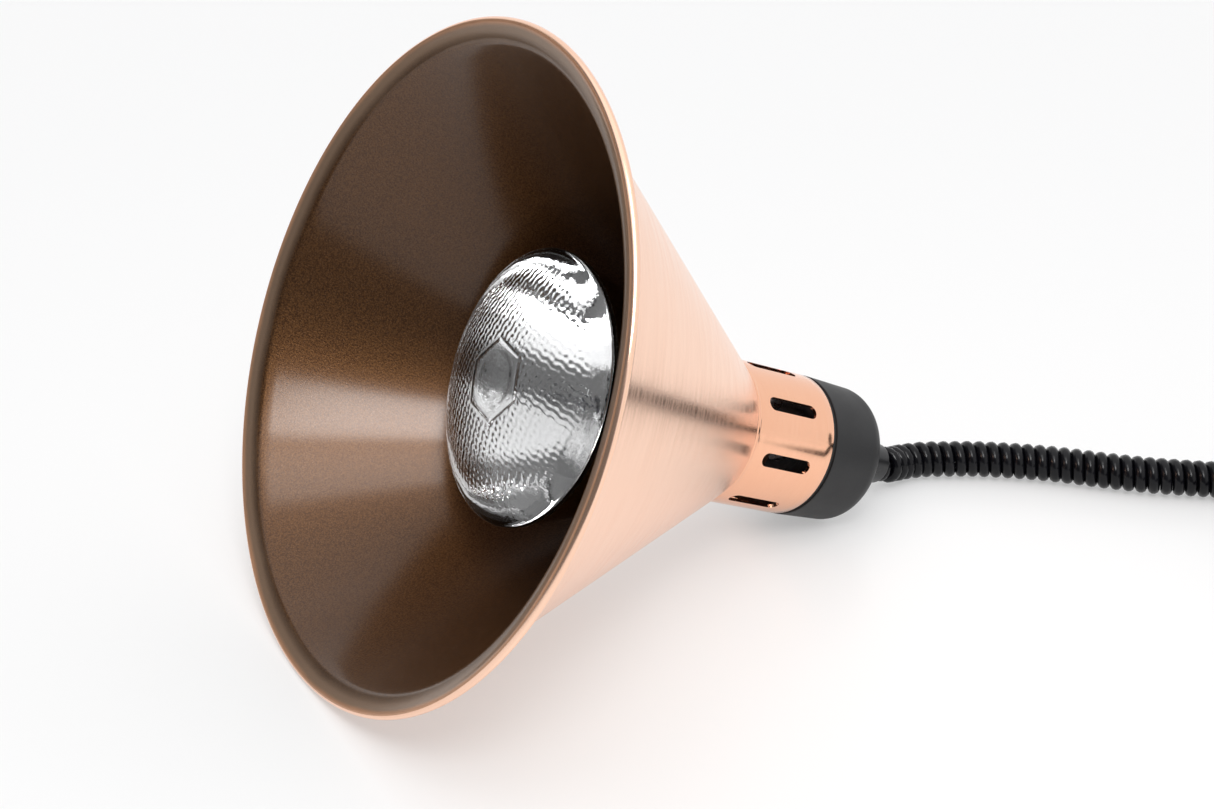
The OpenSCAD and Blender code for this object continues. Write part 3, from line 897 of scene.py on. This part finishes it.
@dataclass
class Cord:
    """The curly cord, its coil, the straight tail and the tie, in millimetres."""

    curl_d: float = 18.6
    flex_d: float = 6.0
    pitch: float = 6.02
    points_per_turn: int = 16
    coil_at: Point = (313.0, -190.0)
    coil_out: float = 67.0
    coil_step: float = 20.0
    coil_from: float = 51.0
    coil_turn: float = 350.0
    tie_a: float = 55.0
    tie_w: float = 14.0
    tie_t: float = 1.2

    @property
    def floor_z(self) -> float:
        """Height of the curly cord's middle where it lies on the floor."""
        return self.curl_d / 2 + 0.2

    @property
    def tip(self) -> Vector:
        """Where the cord leaves its grip."""
        return LAMP.place @ Vector((0.0, 0.0, LAMP.grip_end)) / MM

    def curly_route(self) -> list[Vector]:
        """Returns the middle of the curly stretch up to the coil."""
        low = self.floor_z
        straight = self.tip + Vector((math.cos(LAMP.tilt), 0.0, -math.sin(LAMP.tilt))) * 5
        rest = [
            (165, 1.5, 11.3), (174, 2.5, 9.8), (185, -0.5, low), (197, -7, low), (208, -13.5, low),
            (219, -21.5, low), (229, -29.5, low), (238, -37.5, low), (247, -46.5, low), (255, -55, low),
            (264, -64, low), (273, -72.5, low), (284, -81.5, low), (296, -91, low), (309, -101.5, low),
            (324, -113.5, low), (339, -125.5, low),
        ]
        return [self.tip, straight] + [Vector(p) for p in rest]

    def coil_route(self) -> list[Vector]:
        """Returns the coil's turns, clockwise and one cord width inwards for each turn."""
        steps = int(self.coil_turn / 10)
        route = []
        for i in range(steps + 1):
            turned = self.coil_turn * i / steps
            angle = math.radians(self.coil_from - turned)
            radius = self.coil_out - self.coil_step * turned / 360
            x, y = radius * math.cos(angle), radius * math.sin(angle)
            route.append(Vector((self.coil_at[0] + x, self.coil_at[1] + y, self.floor_z)))
        return route

    def tail_route(self) -> list[Vector]:
        """Returns the middle of the straight tail, from the coil to the canopy."""
        route = [
            (344, -153, 11.5), (352, -157.5, 16), (360, -162.5, 20.5), (368, -168, 22.8), (376, -174, 23.6),
            (384, -180, 24), (392, -186, 25), (400, -191.5, 26.2), (408, -196.3, 27.7), (417, -199.9, 29.7),
        ]
        end_z = (CANOPY.rim_r - CANOPY.grip_end * math.tan(CANOPY.tilt)) * math.cos(CANOPY.tilt)
        end = Vector((*CANOPY.tip, end_z))
        straight = end - Vector((math.cos(CANOPY.tilt), 0.0, math.sin(CANOPY.tilt))) * 5
        return [Vector(p) for p in route] + [straight, end]

    @staticmethod
    def smooth(route: Sequence[Vector], step: float) -> list[Vector]:
        """Runs one smooth curve through a route.

        Args:
            route: Points that the curve passes.
            step: Distance between the points returned.

        Returns:
            Evenly spaced points of the curve.
        """
        dense: list[Vector] = []
        last = len(route) - 1
        for i in range(last):
            p0, p1, p2, p3 = route[max(i - 1, 0)], route[i], route[i + 1], route[min(i + 2, last)]
            for k in range(24):
                t = k / 24
                a, b = 2 * p1, (p2 - p0) * t
                c = (2 * p0 - 5 * p1 + 4 * p2 - p3) * t**2
                dense.append((a + b + c + (3 * p1 - p0 - 3 * p2 + p3) * t**3) / 2)
        dense.append(route[-1])
        even, carry = [dense[0]], 0.0
        for here, there in zip(dense, dense[1:]):
            length = (there - here).length
            while carry + length >= step:
                here = here.lerp(there, (step - carry) / length)
                length = (there - here).length
                even.append(here)
                carry = 0.0
            carry += length
        return even

    def wound(self) -> list[Vector]:
        """Returns the flex's own line: the helix of the curly stretch, then the straight tail."""
        step = self.pitch / self.points_per_turn
        core = self.smooth(self.curly_route() + self.coil_route(), step)
        swing = (self.curl_d - self.flex_d) / 2
        grow = self.points_per_turn
        line_points = [core[0]]
        side = Vector((0.0, 1.0, 0.0))
        for i, here in enumerate(core[1:-1], 1):
            ahead = (core[i + 1] - core[i - 1]).normalized()
            side = (side - ahead * side.dot(ahead)).normalized()
            share = min(1.0, i / grow, (len(core) - 1 - i) / grow)
            angle = 2 * math.pi * i / self.points_per_turn
            out = side * math.cos(angle) + ahead.cross(side) * math.sin(angle)
            line_points.append(here + out * swing * math.sin(share * math.pi / 2))
        tail = self.smooth([core[-1]] + self.tail_route(), 3.0)
        return line_points + tail

    def build(self, canopy_pieces: Sequence[bpy.types.Object | str]) -> bpy.types.Object:
        """Args:
            canopy_pieces: What hangs on its far end; not used.

        Returns:
            The cord.
        """
        points = [p * MM for p in self.wound()]
        data = bpy.data.curves.new("curly_cord", "CURVE")
        data.dimensions = "3D"
        data.bevel_depth = self.flex_d / 2 * MM
        data.bevel_resolution = 4
        data.use_fill_caps = True
        spline = data.splines.new("POLY")
        spline.points.add(len(points) - 1)
        for slot, point in zip(spline.points, points):
            slot.co = (*point, 1.0)
        data.materials.append(SHEATH.material())
        piece = link(data, "curly_cord")
        settle(piece, "housing", "cord_black", "cord_curly", "cord_coil", "cord_tail")
        return piece

    def tie(self) -> bpy.types.Object:
        """Makes the band of tape that holds the coil together."""
        middle = self.coil_out - self.coil_step / 2
        wide = self.coil_step + self.curl_d - 1.2 + 2 * self.tie_t
        high = self.curl_d
        half, radius = (wide - high) / 2, high / 2
        loop = arc((half, 0.0), radius, -90, 90, 16) + arc((-half, 0.0), radius, 90, 270, 16)
        build = bmesh.new()
        rows = []
        for y in (-self.tie_w / 2, -self.tie_w / 2 + 0.8, 0.0, self.tie_w / 2 - 0.8, self.tie_w / 2):
            rows.append([build.verts.new((x, y, z)) for x, z in loop])
        bridge(build, rows)
        turn = Matrix.Rotation(math.radians(self.tie_a), 4, "Z")
        place = Matrix.Translation(Vector((*self.coil_at, self.floor_z)) * MM) @ turn
        place = place @ Matrix.Translation(Vector((middle, 0.0, 0.0)) * MM) @ Matrix.Scale(MM, 4)
        piece = to_piece(build, "cord_tie_tape", place, [TAPE.material()])
        add_modifier(piece, "SOLIDIFY", thickness=self.tie_t * MM, offset=-1.0)
        return settle(piece, "housing", "tie_fabric", "cord_tie")


# ---------------------------------------------------------------- shade, neck, cap


@dataclass
class Shade:
    """The spun shade: brushed copper outside, enamel inside, with a rolled edge."""

    segments: int = 288

    def outline(self) -> tuple[list[Point], int]:
        """Returns the outline and how many of its points are copper."""
        lamp = LAMP
        seam_r = lamp.neck_r + 1.4
        slope = (lamp.cone_r - seam_r) / (lamp.seam_z - lamp.cone_z)
        sheet_r = lamp.sheet_t * math.hypot(1.0, slope)
        bead = arc((lamp.rim_r - lamp.bead_r, lamp.bead_r), lamp.bead_r, -75, 105, 14)
        outside = [
            (lamp.cone_r + 4.4, lamp.cone_z + 0.55), (lamp.cone_r + 2.2, lamp.cone_z + 1.0),
            (lamp.cone_r + 0.9, lamp.cone_z + 1.5), (lamp.cone_r - 0.1, lamp.cone_z + 2.0),
        ]
        start = (lamp.cone_r - slope * 2.8, lamp.cone_z + 2.8)
        cone = line(start, (seam_r + 0.35, lamp.seam_z - 0.5), 40) + [(seam_r + 0.05, lamp.seam_z)]
        copper = bead + outside + cone
        inner_end = (lamp.cone_r - sheet_r + 0.9, lamp.cone_z - 0.6)
        throat = (seam_r - sheet_r, lamp.seam_z)
        inside = line(throat, (inner_end[0] - slope * 1.6, inner_end[1] + 1.6), 40)
        crease = [(lamp.cone_r - 0.6, lamp.cone_z - 0.6), (lamp.cone_r + 0.8, lamp.cone_z - 1.05)]
        crease += [(lamp.cone_r + 2.4, lamp.cone_z - 1.55), (lamp.cone_r + 5.0, 0.95)]
        edge = arc((lamp.rim_r - lamp.bead_r, lamp.bead_r), lamp.bead_r, -112, -80, 4)
        return copper + inside + crease + edge, len(copper)

    def build(self) -> bpy.types.Object:
        """Makes the shade."""
        profile, copper = self.outline()
        materials = [COPPER_PAINTED_BRIGHT.material(), ENAMEL.material()]
        piece = revolve(
            "spun_shade", profile, LAMP.place, materials, lambda i: 0 if i < copper - 1 else 1, self.segments
        )
        return settle(piece, "housing", "copper", "shade")


@dataclass
class Neck:
    """The vented neck tube, whose slots are cut by a ring of cutters."""

    slots: int = 8
    slot_len: float = 29.5
    slot_w: float = 6.7
    slot_z: float = 187.0
    spigot_z: float = 150.0
    foot_flare: float = 1.4

    def outline(self) -> list[Point]:
        """Returns the tube's outline, without its slots."""
        lamp = LAMP
        spigot_r, inner = lamp.neck_r - 2.0, lamp.neck_r - lamp.sheet_t
        foot = arc((lamp.neck_r + 3.0, lamp.seam_z + 3.6), 3.0, 238, 180, 8)
        wall = line((lamp.neck_r, lamp.seam_z + 4.2), (lamp.neck_r, lamp.neck_z - 0.5), 10)
        back = [(lamp.neck_r - 0.25, lamp.neck_z), (inner, lamp.neck_z)]
        inside = line((inner, lamp.neck_z - 1.0), (inner, lamp.seam_z + 3.0), 10)
        spigot = [(spigot_r - lamp.sheet_t, lamp.seam_z + 1.5), (spigot_r - lamp.sheet_t, self.spigot_z)]
        start = [(spigot_r, self.spigot_z), (spigot_r, lamp.seam_z)]
        start += [(lamp.neck_r + self.foot_flare, lamp.seam_z)]
        return start + foot + wall + back + inside + spigot

    def cutter(self) -> bpy.types.Object:
        """Makes one slot's cutter: a bar with round ends, lying across the wall at angle 0."""
        half, radius = (self.slot_len - self.slot_w) / 2, self.slot_w / 2
        loop = arc((0.0, half), radius, 0, 180, 12) + arc((0.0, -half), radius, 180, 360, 12)
        build = bmesh.new()
        rows = [[build.verts.new((x, y, z)) for y, z in loop] for x in (LAMP.neck_r - 5.0, LAMP.neck_r + 4.0)]
        build.faces.new(rows[0][::-1])
        build.faces.new(rows[1])
        bridge(build, rows, smooth=False)
        return to_piece(build, "slot_cutter", Matrix.Identity(4), [])

    def ring_tree(self, cutter: bpy.types.Object) -> bpy.types.NodeTree:
        """Builds the tree that sets the cutters round the tube.

        Args:
            cutter: One cutter.

        Returns:
            The geometry node tree.
        """
        tree = bpy.data.node_groups.new("slot_ring", "GeometryNodeTree")
        for name, kind in (("Geometry", "Geometry"), ("Slots", "Int"), ("Height", "Float")):
            tree.interface.new_socket(name, in_out="INPUT", socket_type=f"NodeSocket{kind}")
        tree.interface.new_socket("Geometry", in_out="OUTPUT", socket_type="NodeSocketGeometry")
        graph = Graph(tree)
        given = graph.add("NodeGroupInput")
        out = graph.add("NodeGroupOutput")
        points = graph.add("GeometryNodePoints", {"Count": given.outputs["Slots"]})
        index = graph.add("GeometryNodeInputIndex").outputs[0]
        turn = graph.math("DIVIDE", graph.math("MULTIPLY", index, 2 * math.pi), given.outputs["Slots"])
        rotation = graph.add("ShaderNodeCombineXYZ", {2: turn}).outputs[0]
        lift = graph.add("ShaderNodeCombineXYZ", {2: given.outputs["Height"]}).outputs[0]
        info = graph.add("GeometryNodeObjectInfo", {"Object": cutter})
        values = {"Points": points.outputs[0], "Instance": info.outputs["Geometry"], "Rotation": rotation}
        instances = graph.add("GeometryNodeInstanceOnPoints", values)
        values = {"Instances": instances.outputs[0], "Translation": lift, "Local Space": False}
        moved = graph.add("GeometryNodeTranslateInstances", values)
        real = graph.add("GeometryNodeRealizeInstances", {0: moved.outputs[0]})
        values = {"Geometry": real.outputs[0], "Material": NECK_COPPER.material()}
        dressed = graph.add("GeometryNodeSetMaterial", values)
        tree.links.new(dressed.outputs[0], out.inputs[0])
        return tree

    def build(self) -> bpy.types.Object:
        """Makes the tube and cuts its slots."""
        cutter = self.cutter()
        holder = link(bpy.data.meshes.new("slot_ring"), "slot_ring")
        tree = self.ring_tree(cutter)
        modifier = holder.modifiers.new("slots", "NODES")
        modifier.node_group = tree
        values = {"Slots": self.slots, "Height": self.slot_z}
        for item in tree.interface.items_tree:
            if item.name in values:
                modifier[item.identifier] = values[item.name]
        cutters = freeze(holder, "slot_cutters")
        bpy.data.objects.remove(cutter)
        tube = revolve("vented_neck", self.outline(), Matrix.Identity(4), [NECK_COPPER.material()])
        add_modifier(tube, "BOOLEAN", operation="DIFFERENCE", object=cutters, solver="EXACT")
        piece = freeze(tube, "vented_neck")
        bpy.data.objects.remove(cutters)
        piece.data.transform(LAMP.place)
        sharpen(piece)
        return settle(piece, "housing", "copper", "neck_tube")


@dataclass
class Cap:
    """The black cap with its cord grip."""

    wall: float = 2.0
    grip_base_r: float = 14.5
    seal_t: float = 0.6

    def build(self) -> list[bpy.types.Object]:
        """Makes the cap and the grip."""
        return [self.cap(), self.grip()]

    def cap(self) -> bpy.types.Object:
        """Makes the cup-shaped cap with an eased front edge and a rounded back corner."""
        lamp = LAMP
        corner = lamp.cap_corner_r
        front = [(lamp.neck_r - self.wall, lamp.cap_z), (lamp.neck_r - 0.5, lamp.cap_z)]
        front += [(lamp.neck_r - 0.12, lamp.cap_z + 0.12), (lamp.neck_r, lamp.cap_z + 0.5)]
        side = line((lamp.neck_r - 0.02, lamp.cap_z + 1.2), (lamp.cap_back_r, lamp.cap_end - corner), 6)
        outer = side + arc((lamp.cap_back_r - corner, lamp.cap_end - corner), corner, 6, 90, 18)
        outer += line((lamp.cap_back_r - corner - 0.8, lamp.cap_end), (6.1, lamp.cap_end), 4)
        inner = [(6.1, lamp.cap_end - self.wall)]
        inside = arc((lamp.cap_back_r - corner, lamp.cap_end - corner), corner - self.wall, 90, 0, 10)
        piece = revolve("end_cap", front + outer + inner + inside, LAMP.place, [CAP_BLACK.material()])
        sharpen(piece, 50.0)
        return settle(piece, "housing", "black_cap", "cap")

    def grip(self) -> bpy.types.Object:
        """Makes the flared cord grip with the split line of its clamping ring."""
        lamp = LAMP
        base = lamp.cap_end + self.seal_t
        waist = lamp.grip_tip_r + 0.6
        flare = self.grip_base_r - waist
        outer = [(6.1, base), (self.grip_base_r - 0.3, base), (self.grip_base_r, base + 0.3)]
        outer += arc((waist + flare, base + 1.0 + flare * 1.6), flare, 258, 180, 10)
        groove = base + 11.0
        outer += [(waist - 0.1, groove - 0.4), (waist - 0.6, groove - 0.2), (waist - 0.6, groove + 0.2)]
        outer += [(waist - 0.15, groove + 0.4)]
        outer += arc((lamp.grip_tip_r - 1.2, lamp.grip_end - 1.2), 1.2, 0, 90, 6)
        outer += [(3.1, lamp.grip_end), (3.1, lamp.cap_end + 5.2), (6.1, lamp.cap_end + 5.2)]
        piece = revolve("cord_grip", outer, LAMP.place, [TRIM_BLACK.material()], segments=96)
        sharpen(piece, 50.0)
        return settle(piece, "housing", "black_trim", "grip_body")


# ---------------------------------------------------------------- bulb


@dataclass
class Bulb:
    """The reflector bulb: pressed lens, silvered bowl and screw base."""

    face_r: float = 61.0
    lens_z: float = 41.5
    length: float = 136.0
    sag: float = 17.5
    lens_t: float = 4.0
    ferrule_r: float = 17.0
    shell_r: float = 13.2
    pad_r: float = 18.5
    pad_turn: float = math.radians(6.5)
    relief: float = 0.13
    pitch: float = 3.629

    @property
    def face_z(self) -> float:
        """Height of the lens's widest circle."""
        return self.lens_z + self.sag

    @property
    def ferrule_z(self) -> float:
        """Height at which the metal ferrule starts."""
        return self.lens_z + self.length - 6.5 - 20.0 - 8.0

    @property
    def sphere(self) -> float:
        """Radius of the lens's front."""
        return (self.face_r**2 + self.sag**2) / (2 * self.sag)

    def build(self) -> list[bpy.types.Object]:
        """Makes the bulb's pieces."""
        return [self.lens(), self.bowl(), self.shell()]

    def pad_height(self, x: float, y: float) -> float:
        """Raised border and middle of the six-sided pad on the lens.

        Args:
            x: First place across the lens, in millimetres.
            y: Second place across the lens.

        Returns:
            How far the surface stands out, in millimetres.
        """
        sides = [self.pad_turn + math.radians(a) for a in (0, 60, 120)]
        flat = max(abs(x * math.cos(a) + y * math.sin(a)) for a in sides)
        edge = self.pad_r * math.cos(math.pi / 6)
        border = 0.34 * math.exp(-(((flat - edge) / 0.8) ** 2))
        step = 0.2 * min(1.0, max(0.0, (13.8 - math.hypot(x, y)) / 2.4))
        return border + step

    def dimple(self, x: float, y: float) -> float:
        """Rows of small pressed pillows over the rest of the lens.

        Args:
            x: First place across the lens, in millimetres.
            y: Second place across the lens.

        Returns:
            How far the surface stands out, in millimetres.
        """
        radius = math.hypot(x, y)
        inner = min(1.0, max(0.0, radius - self.pad_r + 1.0))
        outer = min(1.0, max(0.0, (self.face_r - 8.0 - radius) / 3.0))
        cos, sin = math.cos(self.pad_turn), math.sin(self.pad_turn)
        u, v = (x * cos + y * sin) / 2.8, (y * cos - x * sin) / 3.4
        u, v = u + 0.14 * math.sin(0.9 * y), v + 0.12 * math.sin(1.1 * x + 0.4 * y)
        cell = math.cos(math.pi * (u + v)) * math.cos(math.pi * (u - v))
        return self.relief * inner * outer * cell

    def lens(self) -> bpy.types.Object:
        """Makes the lens: a dense domed front with its relief, a short rim and a plain back."""
        rings, spokes = 128, 680
        build = bmesh.new()
        back_sphere = self.sphere - self.lens_t
        centre = self.lens_z + self.sphere
        grid: list[list[bmesh.types.BMVert]] = []
        for i in range(1, rings + 1):
            radius = self.face_r * i / rings
            row = []
            for k in range(spokes):
                angle = 2 * math.pi * k / spokes
                x, y = radius * math.cos(angle), radius * math.sin(angle)
                z = centre - math.sqrt(self.sphere**2 - radius**2)
                fade = min(1.0, (self.face_r - radius) / 2.0)
                z -= fade * (self.pad_height(x, y) + self.dimple(x, y))
                row.append(build.verts.new((x, y, z)))
            grid.append(row)
        top = build.verts.new((0.0, 0.0, self.lens_z - self.pad_height(0.0, 0.0)))
        edge = [(self.face_r, self.face_z + 2.0), (self.face_r - 1.5, self.face_z + 2.0)]
        radii = (57.0, 48.0, 40.0, 30.0, 20.0, 10.0)
        inner = [(r, centre - math.sqrt(back_sphere**2 - r * r)) for r in radii]
        grid += [ring(build, radius, z, spokes) for radius, z in edge + inner]
        bottom = build.verts.new((0.0, 0.0, centre - back_sphere))
        bridge(build, grid)
        for k in range(spokes):
            after = (k + 1) % spokes
            build.faces.new((top, grid[0][k], grid[0][after])).smooth = True
            build.faces.new((bottom, grid[-1][after], grid[-1][k])).smooth = True
        piece = to_piece(build, "pressed_lens", LAMP.place, [GLASS.material()])
        sharpen(piece, 60.0)
        return settle(piece, "bulb", "lens_glass", "bulb_lens")

    def bowl(self) -> bpy.types.Object:
        """Makes the bowl, a mirror from both sides."""
        steps = 36
        wall = 1.4
        span = self.ferrule_z - self.face_z - 2.0
        outer = []
        for i in range(steps + 1):
            s = i / steps
            radius = self.ferrule_r - 1.5 + (self.face_r - self.ferrule_r + 1.5) * (1 - s)
            outer.append((radius, self.face_z + 2.0 + span * (1 - (1 - s) ** 2)))
        inner = [(r - wall, z) for r, z in reversed(outer)]
        piece = revolve("silvered_bowl", outer + inner, LAMP.place, [MIRROR.material()])
        sharpen(piece, 50.0)
        return settle(piece, "bulb", "reflector", "bulb_reflector")

    def shell(self) -> bpy.types.Object:
        """Makes the threaded shell as one rolled sheet whose thread climbs round it."""
        start = self.ferrule_z + 8.0
        end = start + 20.0
        depth, spokes, rows = 0.55, 96, 120
        build = bmesh.new()
        grid = []
        for i in range(rows + 1):
            z = start + (end - start) * i / rows
            fade = min(1.0, i / 8, (rows - i) / 8)
            row = []
            for k in range(spokes):
                angle = 2 * math.pi * k / spokes
                wave = 0.5 + 0.5 * math.cos(2 * math.pi * (z / self.pitch) - angle)
                radius = self.shell_r - depth * (1 - wave) * fade
                row.append(build.verts.new((radius * math.cos(angle), radius * math.sin(angle), z)))
            grid.append(row)
        bridge(build, grid)
        piece = to_piece(build, "threaded_shell", LAMP.place, [ALUMINIUM.material()])
        add_modifier(piece, "SOLIDIFY", thickness=0.4 * MM, offset=-1.0)
        return settle(piece, "bulb", "bulb_metal", "bulb_shell")


# ---------------------------------------------------------------- canopy


@dataclass
class Canopy:
    """The ceiling canopy at the cord's far end."""

    def build(self) -> list[bpy.types.Object]:
        """Makes the cup and the ribbed cord grip."""
        return [self.cup(), self.grip()]

    def cup(self) -> bpy.types.Object:
        """Makes the cup with an eased rim."""
        size = CANOPY
        bend = size.height - size.side
        slope = size.taper / size.side
        rim = [(size.rim_r - size.sheet_t, 0.0), (size.rim_r - 0.4, 0.0), (size.rim_r - 0.1, 0.4)]
        side = line((size.rim_r - slope, 1.0), (size.rim_r - size.taper, size.side), 8)
        top = arc((size.rim_r - size.taper - bend, size.height - bend), bend, 8, 90, 12)
        face = line((size.rim_r - size.taper - bend - 2.0, size.height), (6.1, size.height), 6)
        floor = size.height - size.sheet_t
        under = line((6.1, floor), (size.rim_r - size.taper - bend, floor), 4)
        turn = arc((size.rim_r - size.taper - bend, size.height - bend), bend - size.sheet_t, 80, 0, 8)
        profile = rim + side + top + face + under + turn
        piece = revolve("canopy_shell", profile, CANOPY.place, [CANOPY_BLACK.material()], segments=160)
        sharpen(piece, 50.0)
        return settle(piece, "housing", "black_trim", "canopy_cup")

    def grip(self) -> bpy.types.Object:
        """Makes the tapered strain relief with its flexing ribs."""
        size = CANOPY
        outer = [(3.1, size.height - 8.0), (6.0, size.height - 8.0), (6.0, size.height), (8.7, size.height)]
        outer += [(9.0, size.height + 0.3), (9.0, size.height + 3.7), (8.7, size.height + 4.0)]
        ribs = 5
        for i in range(ribs):
            z = size.height + 4.4 + i * 2.6
            radius = 8.6 - (z - size.height - 4.0) * 0.22
            outer += [(radius, z), (radius - 0.15, z + 1.4), (radius - 1.1, z + 1.6), (radius - 1.2, z + 2.2)]
        outer += [(5.5, size.grip_end - 0.4), (5.2, size.grip_end), (3.1, size.grip_end)]
        piece = revolve("canopy_relief", outer, CANOPY.place, [TRIM_BLACK.material()], segments=64)
        sharpen(piece, 40.0)
        return settle(piece, "housing", "black_trim", "canopy_grip")


# ---------------------------------------------------------------- the parts that keep their CAD shape

KEPT_FINISHES: dict[Finish, tuple[str, ...]] = {
    ZINC: (
        "shade_ring", "neck_screws", "grip_nut", "nipple", "nipple_nuts", "holder_pillars", "pillar_screws",
        "terminal_screws", "earth_screw", "canopy_bar", "canopy_screws", "canopy_grip_nut",
    ),
    DARK_STEEL: ("yoke",),
    GASKET: ("cap_ring", "grip_seal"),
    BRASS: ("holder_shell", "holder_contact", "terminals", "earth_tag", "canopy_block_screws"),
    CERAMIC_PAINTED_SHADE: ("holder_body",),
    STEM_GLASS: ("bulb_stem",),
    TUNGSTEN: ("bulb_filament",),
    ALUMINIUM: ("bulb_ferrule", "bulb_button"),
    BLACK_GLASS: ("bulb_insulator",),
    SHEATH: ("cord_inlet", "canopy_lead"),
    BROWN_WIRE: ("wire_live",),
    BLUE_WIRE: ("wire_neutral",),
    GREEN_WIRE: ("wire_earth",),
    IVORY: ("canopy_block",),
}


def main() -> None:
    """Builds the studio, then the canopy and the cord, then the lamp from its shade to its bulb."""
    logging.basicConfig(level=logging.INFO, format="%(message)s")
    bpy.context.scene.view_settings.view_transform = "Standard"
    Studio().build()
    canopy = Canopy().build()
    cord = Cord()
    on_cord = [f"canopy_{part}" for part in ("bar", "screws", "grip_nut", "block", "block_screws", "lead")]
    tie = cord.tie()
    cord.build(canopy + [tie] + [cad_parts[name] for name in on_cord])
    Shade().build()
    Neck().build()
    Cap().build()
    Bulb().build()
    for finish, nodes in KEPT_FINISHES.items():
        dress(nodes, finish)


if __name__ == "__main__":
    main()
